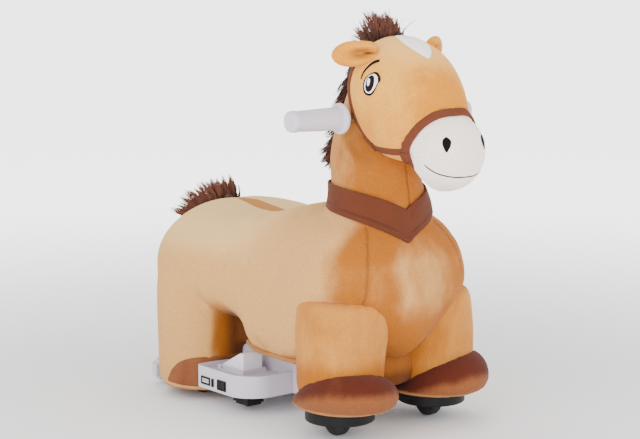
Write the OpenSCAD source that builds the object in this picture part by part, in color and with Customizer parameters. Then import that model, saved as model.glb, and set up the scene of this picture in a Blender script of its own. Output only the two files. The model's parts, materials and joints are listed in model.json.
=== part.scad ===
// Powered ride-on plush horse on wheels, all sizes in millimetres.
// +X is forward, +Y is the horse's left, +Z is up; origin on the floor, midway along the horse.

/* [Front casters] */
// Distance from front wheel centres to rear wheel centres
wheel_base = 320; // [300:1:340]
// Distance from left wheel centre to right wheel centre
track = 170; // [160:1:180]
// Front wheel diameter
front_wheel_d = 44; // [38:0.5:48]
// Front wheel width
front_wheel_w = 18; // [12:0.5:22]
// Rounding of the front wheel tread
front_wheel_round = 4; // [1:0.5:5]
// How far a front wheel trails behind its swivel axis
caster_trail = 6; // [2:0.5:8]
// Steel wheel pin diameter
wheel_pin_d = 6; // [4:0.5:8]
// Black sole diameter under each front hoof
sole_d = 96; // [86:1:104]
// Lower edge of the sole above the floor
sole_bottom = 24; // [18:0.5:28]
// Upper face of the sole, under the hoof
sole_top = 40; // [36:0.5:44]
// Rim of the turntable outside the swept wheel
turntable_rim = 1.66; // [1:0.01:3]
// Swivel stub diameter
stub_d = 12; // [8:0.5:16]

/* [Rear drive] */
// Rear wheel diameter
rear_wheel_d = 70; // [66:0.5:76]
// Rear wheel width
rear_wheel_w = 24; // [16:0.5:30]
// Rear axle diameter
axle_d = 8; // [6:0.5:10]
// Axle bush outer diameter
bush_d = 14; // [12:0.5:18]
// Axle bush flange diameter
bush_flange_d = 20; // [18:0.5:26]
// Teeth on the axle gear
axle_teeth = 30; // [26:1:32]
// Teeth on every small gear
pinion_teeth = 12; // [12:1:16]
// Teeth on the large idler gear
idler_teeth = 32; // [28:1:36]
// Tooth size of the slow pair
slow_module = 1; // [0.9:0.01:1.05]
// Tooth size of the fast pair
fast_module = 0.8; // [0.7:0.01:0.9]
// Play between the gear teeth
backlash = 0.3; // [0.2:0.01:0.35]
// Idler shaft diameter
idler_shaft_d = 5; // [3:0.5:6]
// Motor can diameter
motor_d = 27; // [20:0.5:30]
// Motor can length
motor_l = 38; // [28:0.5:50]

/* [Base] */
// Room between the central tunnel and a rear wheel
wheel_room = 11; // [6:0.5:16]
// Top of the central tunnel
tunnel_top = 98; // [92:0.5:104]
// Wall thickness of the mouldings
wall = 3; // [2:0.1:4]
// Room round the gear train in the rear sump
sump_gap = 2.2; // [1.5:0.1:5]
// Front end of the tunnel, behind the front wheel centres
tunnel_inset = 58; // [50:0.5:66]
// Rear end of the tunnel, behind the rear axle
tunnel_tail = 64; // [54:0.5:70]
// Width of the nose between the front legs
nose_w = 44; // [40:0.5:48]
// Front end of the nose, ahead of the front wheel centres
nose_lead = 16; // [10:0.5:24]
// Underside of the nose
nose_bottom = 72; // [60:0.5:80]
// Rear bumper width
bumper_w = 254; // [210:1:290]
// Rear bumper depth
bumper_l = 27; // [20:0.5:34]
// Rear bumper underside
bumper_bottom = 8; // [6:0.5:14]
// Rear bumper top
bumper_top = 40; // [36:0.5:50]
// Rounding of the rear bumper corners
bumper_r = 24; // [16:0.5:26]

/* [Foot trays] */
// Gap from the rear sump to the trays
tray_reach = 1.2; // [0.4:0.1:6]
// Length of a tray
tray_l = 124; // [112:0.5:136]
// Outer face of the trays from the middle
tray_out = 145; // [138:0.5:155]
// Underside of the bottom cover
cover_bottom = 30; // [26:0.5:32]
// Height of the tray rim above the tread
rim_h = 8; // [4:0.5:14]
// Front outer corner rounding
tray_front_r = 43; // [30:0.5:50]
// Rear outer corner rounding
tray_rear_r = 8; // [5:0.5:16]
// Width of one tread rib
rib_w = 1.6; // [1:0.1:3]
// Height of one tread rib
rib_h = 1.2; // [0.5:0.1:2]
// Spacing of the tread ribs
rib_step = 8; // [5:0.5:14]
// Skid foot length
skid_l = 36; // [28:0.5:44]
// Skid foot width
skid_w = 30; // [22:0.5:36]
// Skid foot clearance above the floor
skid_bottom = 8; // [4:0.5:14]

/* [Pedal and controls] */
// Pedal length
pedal_l = 54; // [48:0.5:60]
// Pedal width
pedal_w = 34; // [28:0.5:38]
// Height of the pedal's front edge above the tread
pedal_rise = 31; // [22:0.5:32]
// Pedal hinge pin diameter
pedal_pin_d = 4; // [3:0.1:5]
// Gap round the pedal
pedal_gap = 1.2; // [1.1:0.1:2]
// Spring coil diameter
spring_d = 10; // [7:0.5:13]
// Spring wire diameter
spring_wire = 1.4; // [0.8:0.1:1.8]
// Rocker switch frame length
rocker_l = 21; // [19:0.5:23]
// Rocker switch frame height
rocker_h = 15; // [13:0.5:17]
// Gauge frame length
gauge_l = 22; // [18:0.5:26]
// Gauge frame height
gauge_h = 12; // [10:0.5:16]
// Charging socket width
socket_l = 5; // [4.5:0.1:8]
// Charging socket height
socket_h = 12; // [8:0.5:16]
// Battery length
battery_l = 100; // [80:1:110]
// Room beside the battery in the tunnel
battery_side = 27; // [20:0.5:36]
// Room above the battery in the tunnel
battery_head = 15; // [8:0.5:24]

/* [Handlebar and frame] */
// Handlebar length
bar_l = 316; // [300:0.5:340]
// Handlebar tube diameter
bar_d = 16; // [12:0.5:20]
// Handlebar height
bar_z = 434; // [425:0.5:445]
// Handlebar and neck post, behind the front wheel centres
bar_back = 14; // [12:0.5:18]
// Grip diameter at its inner end
grip_d = 31; // [27:0.5:36]
// Grip diameter at its outer end
grip_end_d = 27; // [24:0.5:32]
// Grip flange diameter
grip_flange_d = 42; // [38:0.5:48]
// Gap from the neck to a grip
grip_gap = 10; // [4:0.5:20]
// Neck post diameter
post_d = 44; // [38:0.5:44]
// Neck post wall
post_wall = 4; // [2.5:0.1:6]
// Height of the neck post above the handlebar
post_over = 36; // [24:0.5:44]
// Front leg post diameter
leg_post_d = 40; // [34:0.5:48]
// Seat board height
seat_board = 232; // [215:0.5:240]
// Seat board width
seat_board_w = 100; // [90:0.5:116]

/* [Fits] */
// Gap between sewn pieces
seam_gap = 0.3; // [0.2:0.05:0.6]
// Gap round fixed pieces
fit_gap = 0.1; // [0.05:0.01:0.2]
// Running gap of a shaft in its hole, on the radius
run_gap = 0.05; // [0.02:0.01:0.1]
// Gap between turning faces
turn_gap = 0.4; // [0.3:0.05:0.8]
// Strap thickness
strap_t = 2.2; // [1.5:0.1:4]
// Collar cloth thickness
collar_t = 4; // [2:0.1:6]

/* [Hidden] */
$fn = 48;
over = 1;
far = 900;

// Wheel places
front_x = wheel_base / 2;
rear_x = -wheel_base / 2;
side_y = track / 2;
front_z = front_wheel_d / 2;
axle_z = rear_wheel_d / 2;
bar_x = front_x - bar_back;

// Caster build-up
wheel_gap = 1.5;
wheel_side_gap = 1.2;
roof_t = 4.5;
hub_t = 7.6;
hub_wall = 4;
turntable_lift = 2;
lip = 1.5;
lip_h = 2.6;
lug_w = 5;
lug_t = 5;
lug_r = wheel_pin_d / 2 + lug_t;
turntable_d = 2 * norm([front_wheel_d / 2 + caster_trail + wheel_gap, front_wheel_w / 2])
    + 2 * turntable_rim;
cup_d = turntable_d + 2 * turn_gap;
slot_top = front_wheel_d + wheel_gap;
turntable_top = slot_top + roof_t;
cup_top = turntable_top + turn_gap;
hub_top = cup_top + hub_t;
hub_d = cup_d + 2 * hub_wall;
turntable_bottom = sole_bottom + turntable_lift;
slot_half = front_wheel_w / 2 + wheel_side_gap;
slot_end = front_wheel_d / 2 + wheel_gap;
// Tread bevel: share of the rounding
tread_share = 0.3;

// Gear train, its planes along Y and its places
slow_y = [20, 28];
fast_y = [8, 14];
idler_x = rear_x + slow_module * (axle_teeth + pinion_teeth) / 2;
motor_x = idler_x + fast_module * (idler_teeth + pinion_teeth) / 2;
plate_y = [2, 32];
plate_t = 3;
plate_end = 18;
plate_drop = 15;
plate_rise = 23;
plate_x = [rear_x - plate_end, motor_x + plate_end];
plate_z = [axle_z - plate_drop, axle_z + plate_rise];
gear_side = 1.5;
hang_boss_d = 12;
hang_in = 10;
motor_nose_d = 9;
motor_nose_l = 4;
motor_shaft_d = 3;
pressure = 20;
tooth_tip = 0.8;
tooth_root = 1.25;
root_narrow = 1;
gear_r = slow_module * (axle_teeth / 2 + tooth_tip);

// Rear wheel and axle
wheel_hub_d = 24;
wheel_web_t = 6;
wheel_rim_t = 9;
wheel_bevel = 2;
axle_reach = 4;
cap_t = 3.5;
cap_d = axle_d + 5;
cap_over = 1;
bush_in = 4;
bush_flange_t = 2;

// Base levels
tunnel_bottom = cover_bottom + wall;
cover_top = tunnel_bottom;
tunnel_front = front_x - tunnel_inset;
tunnel_rear = tunnel_tail - rear_x;
sump_front = -motor_x - plate_end - sump_gap - wall;
sump_bottom = axle_z - gear_r - sump_gap - wall;
nose_front = front_x + nose_lead;
deck_t = 3;
panel_edge = 1.5;
deck_under = cover_top + rocker_h + 2 * panel_edge;
deck_top = deck_under + deck_t;
tray_rim = deck_top + rim_h;
inner_y = side_y - rear_wheel_w / 2 - wheel_room;
tray_rear = sump_front - tray_reach;
tray_front = tray_l - tray_rear;
tray_wall = 3.5;
tray_w = tray_out - inner_y;
skid_share = 0.43;
skid_y = inner_y + tray_w * skid_share;
skid_bevel = 3;
skid_step = 4;
battery_gap = 30;
battery_x = battery_gap - sump_front;
battery_w = 2 * (inner_y - battery_side);
battery_h = tunnel_top - wall - cover_top - battery_head;
terminal = [6, 6, 6];
terminal_share = 0.29;
terminal_drop = 17;
terminal_y = battery_w * terminal_share;
terminal_z = battery_h - terminal_drop;
corner_r = 10;
bumper_reach = 7;
bumper_front = tunnel_rear + bumper_reach;
bumper_pad_w = 80;
bumper_edge = 6;
spigot_h = 14;
screw_d = 3;
screw_head_d = 7;
screw_head_h = 2.4;
screw_l = 12;
boss_d = 9;
screw_in = 18;
screw_side = 12;
screw_x = [screw_in - sump_front, 0, tunnel_front - screw_in];
screw_y = inner_y - screw_side;

// Controls on the outer face of the right tray
panel_y = -tray_out;
control_z = (cover_top + deck_under) / 2;
rocker_in = 64;
gauge_in = 24.5;
socket_in = 42;
rocker_x = rocker_in - tray_rear;
gauge_x = gauge_in - tray_rear;
socket_x = socket_in - tray_rear;
frame_t = 1.5;
switch_depth = 16;
switch_inset = 1;
rocker_half = rocker_l / 2 - 3;
rocker_tip = 6;
rocker_dip = 4.6;
rocker_back = 2.5;
rocker_taper = 1;
rocker_room = 1.3;
rocker_pin_d = 3;
pin_inset = 0.3;
pivot_in = 4;

// Pedal
pedal_in = 18;
pedal_share = 0.4;
pedal_drop = 5;
hinge_in = 7;
hinge_h = 3.5;
heel_h = 6;
plinth_h = 7;
plinth_t = 3;
pedal_rear_x = pedal_in - tray_rear;
pedal_front_x = pedal_rear_x + pedal_l;
pedal_y = -inner_y - tray_w * pedal_share;
pedal_bottom = deck_under - pedal_drop;
pedal_top = deck_top + pedal_rise;
pedal_hinge_x = pedal_rear_x + hinge_in;
pedal_hinge_z = deck_top + hinge_h;
pedal_heel_z = deck_top + heel_h;
plinth_top = deck_top + plinth_h;
pedal_stop = 4;
pedal_stop_in = 6;
pedal_round = 6;
pedal_edge = 3;
pedal_flat = 4;
spring_in = 41;
spring_x = pedal_rear_x + spring_in;
spring_turns = 5;
switch_box = [20, 7, 8.5];
switch_in = 13;
switch_side = 14;
switch_place = [pedal_rear_x + switch_in, pedal_y - switch_side, cover_top];
plunger_d = 3;
plunger_in = 4;
plunger_gap = 2.6;
plunger_top = pedal_bottom - plunger_gap;

// Frame
yoke_wall = 2;
yoke_z = [120, 150];
yoke_x = [bar_x - post_d / 2 - yoke_wall, front_x + leg_post_d / 2 + yoke_wall];
yoke_y = side_y + leg_post_d / 2;
yoke_hub_x = bar_x + post_d / 2 + yoke_wall;
seat_behind = 40;
seat_short = 70;
seat_x = [rear_x - seat_behind, front_x - seat_short];
post_top = bar_z + post_over;
seat_flange_t = 4;
seat_web_t = 4;
seat_web_y = 38;
grip_end_t = 4;
neck_side = 62;
grip_in = neck_side + grip_gap;
grip_l = bar_l / 2 + grip_end_t - grip_in;
grip_flange_t = 5;
grip_flare = 2;
grip_edge = 1;
grip_rim = 1;
grip_rim_l = 10;

// Soft forms: points round one ring and steps between table rows
ring_n = 28;
fine_n = 16;
wire_n = 6;
wire_step = 45;
// Body rows, stretched with the wheel base: place along X, half width, top, bottom,
// squareness above and below
drawn_base = 320;
stretch = wheel_base / drawn_base;
BODY = [[-274, 2, 206, 178, 2.2, 2.2], [-266, 56, 240, 144, 2, 2.4], [-246, 98, 264, 118, 1.95, 2.7],
    [-205, 137, 284, 112, 2.05, 2.8], [-160, 148, 287, 112, 2.2, 2.7], [-110, 144, 280, 122, 2.4, 2.6],
    [-75, 136, 275, 132, 2.6, 2.8], [-50, 130, 275, 95, 2.6, 3.6], [0, 124, 280, 88, 2.6, 4.2],
    [60, 125, 295, 87, 2.6, 4.2], [110, 129, 304, 87, 2.6, 3.4], [160, 126, 304, 92, 2.7, 1.6],
    [203, 105, 284, 110, 2.6, 1.1], [229, 72, 247, 138, 2.3, 1.05], [240, 3, 206, 184, 2.2, 2]];
// Neck rows: height, middle along X from the front wheels, half length, half width
NECK = [[225, -20, 72, 92], [262, -20, 70, 84], [300, -18, 66, 75], [340, -23, 66, 62],
    [375, -30, 66, 54], [410, -28, 63, 58], [440, -22, 60, neck_side], [475, -18, 54, 58],
    [500, -14, 38, 42], [512, -10, 2, 2]];
// Head rows along its tilted axis: place, offset, half height, half width
HEAD = [[-84, -3, 2, 2], [-77, -3, 33, 32], [-57, -3, 57, 56], [-28, -3, 71, 70],
    [5, -3, 76, 74], [40, -4, 71, 70], [72, -7, 60, 62], [96, -9, 49, 54],
    [112, -10, 35, 40], [120, -10, 3, 3]];
head_ahead = 36;
head_z = 466;
head_o = [front_x + head_ahead, 0, head_z];
head_tilt = 42;
// Muzzle rows along X: place, offset, half height, half width
MUZZLE = [[-46, 0, 2, 2], [-40, 0, 28, 28], [-22, 1, 46, 48], [0, 1, 52, 54],
    [22, 2, 49, 51], [37, 2, 38, 40], [45, 2, 23, 24], [49, 2, 2, 2]];
muzzle_ahead = 111;
muzzle_z = 393;
muzzle_o = [front_x + muzzle_ahead, 0, muzzle_z];
// Front leg rows: height, middle along X, half length, half width, middle along Y
FRONT_LEG = [[50, 0, 56, 56, 0], [70, 0, 58, 57, 0], [120, -2, 61, 60, -3],
    [160, -5, 66, 62, -11], [185, -8, 67, 60, -17], [196, -9, 58, 52, -19], [202, -9, 34, 30, -20]];
// Front hoof rows: part of the height, middle along X, half length, half width
HOOF = [[0, 4, 50, 46], [0.12, 7, 70, 60], [0.4, 9, 80, 66], [0.7, 9, 75, 62], [1, 5, 64, 60]];
hoof_seam = 62;
hoof_rise = 38;
hoof_turn = 25;
// Rear leg rows: height, half length, half width
REAR_LEG = [[15, 60], [22, 67], [60, 69], [140, 69], [170, 62]];
// Ear rows from base to tip: part of the length, half width, half thickness
EAR = [[0, 12, 8], [0.3, 16.5, 9], [0.6, 17.2, 8.5], [0.88, 11.5, 6], [1, 3, 2.5]];
ear_ahead = 33;
ear_side = 50;
ear_z = 525;
ear_reach = [-35, -49, -6];
ear_base = [front_x + ear_ahead, -ear_side, ear_z];
ear_tip = ear_base + ear_reach;
// Mane rows along the crest: X from the front wheels, Z, half thickness, half width
MANE = [[40, 539, 5, 8], [20, 544, 13, 15], [-2, 545, 20, 20], [-28, 532, 22, 20],
    [-48, 504, 18, 18], [-60, 470, 17, 17], [-72, 430, 17, 16], [-88, 390, 18, 14],
    [-94, 368, 13, 10], [-92, 357, 5, 5]];
// Tail rows from the rump outwards: X from the rear axle, Z, half thickness, half width
TAIL = [[-52, 284, 6, 8], [-73, 292, 13, 14], [-98, 289, 19, 19], [-125, 270, 22, 21],
    [-146, 249, 18, 17], [-159, 235, 5, 6]];

// Noseband plane between the head and the muzzle
nose_tilt = 27;
band_ahead = 115;
band_z = 421.5;
nose_place = [front_x + band_ahead, 0, band_z];
noseband_w = 10;
// Cheek strap line on the side of the head: X from the front wheels, Z
STRAP_LINE = [[-13, 500], [-14, 482], [-13, 465], [-10, 446], [-3, 426], [8, 410],
    [21, 400], [37, 396], [65, 395], [96, 396]];
cheek_strap_w = 7;
// Collar edges: lowest and highest at the chest, rise per unit to the side, and the nape
collar_low = 270;
collar_high = 318;
collar_low_rise = 0.45;
collar_high_rise = 0.36;
collar_nape = [317, 354];
collar_back = 28;

// Wheel pocket in a rear leg
pocket_gap = 6;
pocket_out = side_y + rear_wheel_w / 2 + axle_reach + pocket_gap;

function between(a, b, c, d, s) = 0.5 * (2 * b + (c - a) * s
    + (2 * a - 5 * b + 4 * c - d) * s * s + (3 * b - a - 3 * c + d) * s * s * s);
function smooth(t, m) = let (e = len(t) - 1) concat(
    [for (i = [0:e - 1]) for (k = [0:m - 1])
        between(t[max(i - 1, 0)], t[i], t[i + 1], t[min(i + 2, e)], k / m)], [t[e]]);
function power(c, n) = sign(c) * pow(abs(c), 2 / n);
function unit(v) = v / norm(v);
function mean(r) = [for (k = [0:2]) [for (p = r) p[k]] * [for (p = r) 1] / len(r)];

// Closed skin over a list of rings, each end closed to its middle
module loft(rings) {
    n = len(rings[0]);
    m = len(rings);
    points = concat([for (r = rings) each r], [mean(rings[0]), mean(rings[m - 1])]);
    sides = [for (i = [0:m - 2]) for (j = [0:n - 1])
        let (a = i * n + j, b = i * n + (j + 1) % n) each [[a, a + n, b], [b, a + n, b + n]]];
    low = [for (j = [0:n - 1]) [m * n, j, (j + 1) % n]];
    high = [for (j = [0:n - 1]) [m * n + 1, (m - 1) * n + (j + 1) % n, (m - 1) * n + j]];
    polyhedron(points = points, faces = concat(sides, low, high), convexity = 8);
}

// One ring of the tilted forms, square to the axis u
function tilted(o, u, row, g, n) = let (v = [-u[2], 0, u[0]])
    [for (j = [0:n - 1]) let (a = 360 * j / n)
        o + u * row[0] + v * (row[1] + (row[2] + g) * sin(a))
        + [0, 1, 0] * (row[3] + g) * cos(a)];

module box(x, y, z) {
    translate([x[0], y[0], z[0]])
        cube([x[1] - x[0], y[1] - y[0], z[1] - z[0]]);
}

module rod(x, z, y, d) {
    translate([x, y[0], z])
        rotate([-90, 0, 0])
            cylinder(d = d, h = y[1] - y[0]);
}

module post(x, y, z, d) {
    translate([x, y, z[0]])
        cylinder(d = d, h = z[1] - z[0]);
}

// Places a right-hand piece on the right, or mirrored on the left
module on_side(left) {
    mirror([0, left ? 1 : 0, 0])
        children();
}

module body_form(g) {
    loft([for (row = smooth(BODY, 2)) [for (j = [0:ring_n - 1]) let (a = 360 * j / ring_n,
        h = (row[2] - row[3]) / 2 + g, n = row[sin(a) < 0 ? 5 : 4])
        [row[0] * stretch, (row[1] + g) * power(cos(a), n),
         (row[2] + row[3]) / 2 + h * power(sin(a), n)]]]);
}

module neck_form(g) {
    loft([for (row = smooth(NECK, 1)) [for (j = [0:ring_n - 1]) let (a = 360 * j / ring_n)
        [front_x + row[1] + (row[2] + g) * cos(a), (row[3] + g) * sin(a), row[0]]]]);
}

module head_form(g) {
    u = [cos(head_tilt), 0, -sin(head_tilt)];
    loft([for (row = smooth(HEAD, 2)) tilted(head_o, u, row, g, ring_n)]);
}

module muzzle_form(g) {
    loft([for (row = smooth(MUZZLE, 2)) tilted(muzzle_o, [1, 0, 0], row, g, ring_n)]);
}

// Space in front of the noseband plane, moved by s along its normal
module before_nose(s) {
    translate(nose_place)
        rotate([0, nose_tilt, 0])
            translate([s, -far / 2, -far / 2])
                cube(far);
}

module front_leg_form(g) {
    loft([for (row = smooth(FRONT_LEG, 1)) [for (j = [0:ring_n - 1]) let (a = 360 * j / ring_n)
        [front_x + row[1] + (row[2] + g) * cos(a),
         -side_y - row[4] + (row[3] + g) * sin(a), row[0]]]]);
}

function seam_z(a) = hoof_seam + hoof_rise * max(0, cos(a + hoof_turn));

module hoof_form(g) {
    loft([for (row = smooth(HOOF, 2)) [for (j = [0:ring_n - 1]) let (a = 360 * j / ring_n)
        [front_x + row[1] + (row[2] + g) * cos(a), -side_y + (row[3] + g) * sin(a),
         sole_top + row[0] * (seam_z(a) + g - sole_top)]]]);
}

module rear_leg_form(g) {
    loft([for (row = smooth(REAR_LEG, 2)) [for (j = [0:ring_n - 1]) let (a = 360 * j / ring_n)
        [rear_x + (row[1] + g) * cos(a), -side_y + (row[1] + g) * sin(a), row[0]]]]);
}

// Form along a line in the middle plane from x, stretched by k: X, Z, half thickness, half width
module crest_form(x, k, rows, m, n) {
    r = smooth(rows, m);
    e = len(r) - 1;
    loft([for (i = [0:e]) let (p = r[max(i - 1, 0)], q = r[min(i + 1, e)],
        u = unit([q[0] - p[0], 0, q[1] - p[1]]), v = [-u[2], 0, u[0]])
        [for (j = [0:n - 1]) let (a = 360 * j / n)
            [x + k * r[i][0], 0, r[i][1]] + v * r[i][2] * sin(a) + [0, 1, 0] * r[i][3] * cos(a)]]);
}

// Everything hard inside the soft body, grown by g
module frame_space(g) {
    box([-tunnel_rear - g, tunnel_front + g], [-inner_y - g, inner_y + g], [0, tunnel_top + g]);
    box([0, nose_front + g], [-nose_w / 2 - g, nose_w / 2 + g], [nose_bottom - g, tunnel_top + g]);
    box([seat_x[0] - g, seat_x[1] + g], [-seat_board_w / 2 - g, seat_board_w / 2 + g],
        [tunnel_top, seat_board + g]);
    box([yoke_x[0] - g, yoke_x[1] + g], [-yoke_y - g, yoke_y + g],
        [yoke_z[0] - g, yoke_z[1] + g]);
    box([yoke_x[0] - g, yoke_hub_x + g], [-nose_w / 2 - g, nose_w / 2 + g],
        [tunnel_top - g, yoke_z[0]]);
    post(bar_x, 0, [tunnel_top, post_top + g], post_d + 2 * g);
    rod(bar_x, bar_z, [-bar_l / 2, bar_l / 2], bar_d + 2 * g);
    for (s = [-1, 1]) {
        post(front_x, s * side_y, [hub_top, yoke_z[1]], leg_post_d + 2 * g);
        post(front_x, s * side_y, [0, hub_top + g], hub_d + 2 * g);
    }
}

// Gear outline with involute flanks
function flank(base, r) = let (c = min(1, base / r)) tan(acos(c)) * 180 / PI - acos(c);
function tooth_half(teeth, m, r) = let (pitch = m * teeth / 2, base = pitch * cos(pressure))
    90 / teeth + flank(base, pitch) - backlash / 2 / pitch * 180 / PI - flank(base, max(r, base));

module gear(teeth, m, y, turn) {
    pitch = m * teeth / 2;
    tip = pitch + tooth_tip * m;
    root = pitch - tooth_root * m;
    base = max(pitch * cos(pressure), root);
    rise = [for (s = [0:0.25:1]) base + (tip - base) * s];
    side = concat([[root, tooth_half(teeth, m, base) - root_narrow]],
        [for (r = rise) [r, tooth_half(teeth, m, r)]]);
    points = [for (t = [0:teeth - 1]) each concat(
        [for (p = side) [p[0], t * 360 / teeth + turn - p[1]]],
        [for (k = [len(side) - 1:-1:0]) [side[k][0], t * 360 / teeth + turn + side[k][1]]])];
    translate([0, y[1], 0])
        rotate([90, 0, 0])
            linear_extrude(y[1] - y[0])
                polygon([for (p = points) p[0] * [cos(p[1]), sin(p[1])]]);
}

module rounded(x, y, z, r) {
    for (c = [x[0] + r, x[1] - r])
        for (d = [y[0] + r, y[1] - r])
            post(c, d, z, 2 * r);
    box([x[0] + r, x[1] - r], y, z);
    box(x, [y[0] + r, y[1] - r], z);
}

// Outline of the right foot tray, moved in by s
module tray_outline(s) {
    rear = -tray_rear + s;
    front = tray_front - s;
    out = -tray_out + s;
    big = tray_front_r - s;
    small = max(tray_rear_r - s, over);
    intersection() {
        translate([rear, out])
            square([front - rear, -inner_y - out]);
        union() {
            translate([rear, out + big])
                square([front - rear, tray_out]);
            translate([rear + small, out])
                square([front - big - rear - small, big + over]);
            translate([rear, out + small])
                square([small + over, big - small + over]);
            translate([front - big, out + big])
                circle(r = big);
            translate([rear + small, out + small])
                circle(r = small);
        }
    }
}

module tray_block(s, z) {
    translate([0, 0, z[0]])
        linear_extrude(z[1] - z[0])
            tray_outline(s);
}

// Shell of one foot tray with its ribbed tread
module tray_shell() {
    difference() {
        tray_block(0, [cover_top, tray_rim]);
        tray_block(tray_wall, [deck_top, tray_rim + over]);
        tray_block(tray_wall, [cover_top - over, deck_under]);
    }
    intersection() {
        tray_block(tray_wall, [deck_top, deck_top + rib_h]);
        for (x = [-tray_rear + rib_step:rib_step:tray_front])
            box([x - rib_w / 2, x + rib_w / 2], [-tray_out, -inner_y], [deck_top, tray_rim]);
    }
}

// Screw places under the base, then on the bumper
module screw_spots(d, z) {
    for (x = screw_x)
        for (s = [-1, 1])
            post(x, s * screw_y, z, d);
}

module base_shell() {
    color([0.81, 0.81, 0.84])
        difference() {
            union() {
                difference() {
                    union() {
                        rounded([-tunnel_rear, tunnel_front], [-inner_y, inner_y],
                            [tunnel_bottom, tunnel_top], corner_r);
                        rounded([-tunnel_rear, -sump_front], [-inner_y, inner_y],
                            [sump_bottom, tunnel_top], corner_r);
                        rounded([0, nose_front], [-nose_w / 2, nose_w / 2],
                            [nose_bottom, tunnel_top], corner_r);
                    }
                    box([-sump_front, tunnel_front - wall], [wall - inner_y, inner_y - wall],
                        [0, tunnel_top - wall]);
                    box([wall - tunnel_rear, -sump_front - wall], [wall - inner_y, inner_y - wall],
                        [sump_bottom + wall, tunnel_top - wall]);
                    box([-sump_front - wall - over, over - sump_front],
                        [wall - inner_y, inner_y - wall], [tunnel_bottom, tunnel_top - wall]);
                    box([0, nose_front - wall], [wall - nose_w / 2, nose_w / 2 - wall],
                        [nose_bottom + wall, tunnel_top - wall]);
                }
                screw_spots(boss_d, [cover_top, tunnel_top - over]);
                for (x = [plate_x[0] + hang_in, plate_x[1] - hang_in])
                    post(x, (plate_y[0] + plate_y[1] + plate_t) / 2,
                        [plate_z[1] + plate_t, tunnel_top - over], hang_boss_d);
                post(bar_x, 0, [tunnel_top - over, tunnel_top + spigot_h],
                    post_d - 2 * post_wall - 2 * fit_gap);
            }
            rod(rear_x, axle_z, [-far, far], bush_d + 2 * fit_gap);
            screw_spots(screw_d + 2 * fit_gap, [0, cover_top + screw_l]);
        }
}

module bottom_cover() {
    color([0.78, 0.78, 0.81])
        difference() {
            union() {
                rounded([-tunnel_rear, tunnel_front], [-inner_y, inner_y],
                    [cover_bottom, cover_top], corner_r);
                for (left = [false, true])
                    on_side(left)
                        tray_block(0, [cover_bottom, cover_top]);
            }
            screw_spots(screw_d + 2 * fit_gap, [0, cover_top + over]);
            screw_spots(screw_head_d + 2 * fit_gap, [0, cover_bottom + screw_head_h]);
            box([-far, -sump_front + fit_gap], [-inner_y - fit_gap, inner_y + fit_gap], [0, far]);
        }
}

// One layer of the rear bumper with round ends, moved in by s
module bumper_layer(s, z) {
    x = -bumper_front - bumper_l + bumper_r;
    y = bumper_w / 2 - bumper_r;
    r = bumper_r - s;
    box([x - r, x + r], [-y, y], z);
    for (end = [-y, y])
        post(x, end, z, 2 * r);
}

module rear_bumper() {
    pad = bumper_pad_w / 2;
    color([0.83, 0.83, 0.86])
        union() {
            difference() {
                union() {
                    bumper_layer(0, [bumper_bottom + bumper_edge, bumper_top - bumper_edge]);
                    bumper_layer(bumper_edge, [bumper_bottom, bumper_top]);
                }
                box([-bumper_front, far], [-far, far], [0, far]);
            }
            box([-bumper_front - over, -tunnel_rear], [-pad, pad],
                [sump_bottom + wall, bumper_top - bumper_edge]);
        }
}

module left_tray() {
    color([0.82, 0.82, 0.85])
        on_side(true)
            tray_shell();
}

module right_tray() {
    x = [pedal_rear_x - pedal_gap, pedal_front_x + pedal_gap];
    y = [pedal_y - pedal_w / 2 - pedal_gap, pedal_y + pedal_w / 2 + pedal_gap];
    color([0.82, 0.82, 0.85])
        difference() {
            union() {
                tray_shell();
                box([x[0] - plinth_t, x[1] + plinth_t], [y[0] - plinth_t, y[1] + plinth_t],
                    [deck_under, plinth_top]);
            }
            box(x, y, [0, far]);
            rod(pedal_hinge_x, pedal_hinge_z, [y[0] - plinth_t - over, y[1] + plinth_t + over],
                pedal_pin_d + 2 * run_gap);
            panel_hole(rocker_x, rocker_l - 2 * switch_inset, rocker_h - 2 * switch_inset);
            panel_hole(gauge_x, gauge_l - 4 * switch_inset, gauge_h - 4 * switch_inset);
            panel_hole(socket_x, socket_l - switch_inset, socket_h - 2 * switch_inset);
        }
}

// Hole through the outer face of the right tray
module panel_hole(x, l, h) {
    box([x - l / 2 - fit_gap, x + l / 2 + fit_gap], [panel_y - over, panel_y + tray_wall + over],
        [control_z - h / 2 - fit_gap, control_z + h / 2 + fit_gap]);
}

module panel_block(x, l, h, y) {
    box([x - l / 2, x + l / 2], [panel_y + y[0], panel_y + y[1]],
        [control_z - h / 2, control_z + h / 2]);
}

module skid_feet() {
    b = skid_bevel;
    color([0.12, 0.12, 0.13])
        for (left = [false, true])
            on_side(left)
                translate([rocker_x - skid_l / 2, -skid_y - skid_w / 2, 0]) {
                    box([0, skid_l], [0, skid_w], [skid_bottom + skid_step, cover_bottom]);
                    box([b, skid_l - b], [b, skid_w - b], [skid_bottom, skid_bottom + skid_step + over]);
                }
}

module battery() {
    end = battery_x + battery_l;
    color([0.25, 0.27, 0.30])
        union() {
            box([battery_x, end], [-battery_w / 2, battery_w / 2], [cover_top, cover_top + battery_h]);
            for (s = [-1, 1])
                translate([end - over, s * terminal_y - terminal[1] / 2, cover_top + terminal_z])
                    cube(terminal);
        }
}

module gear_bracket() {
    color([0.45, 0.47, 0.50])
        difference() {
            union() {
                for (y = plate_y)
                    box(plate_x, [y, y + plate_t], [plate_z[0], plate_z[1] + plate_t]);
                box(plate_x, [plate_y[0], plate_y[1] + plate_t], [plate_z[1], plate_z[1] + plate_t]);
            }
            rod(rear_x, axle_z, [-far, far], axle_d + 4 * turn_gap);
            rod(idler_x, axle_z, [-far, far], idler_shaft_d + 2 * run_gap);
            rod(motor_x, axle_z, [-far, plate_y[0] + plate_t + over], motor_nose_d + 2 * fit_gap);
        }
}

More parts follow.
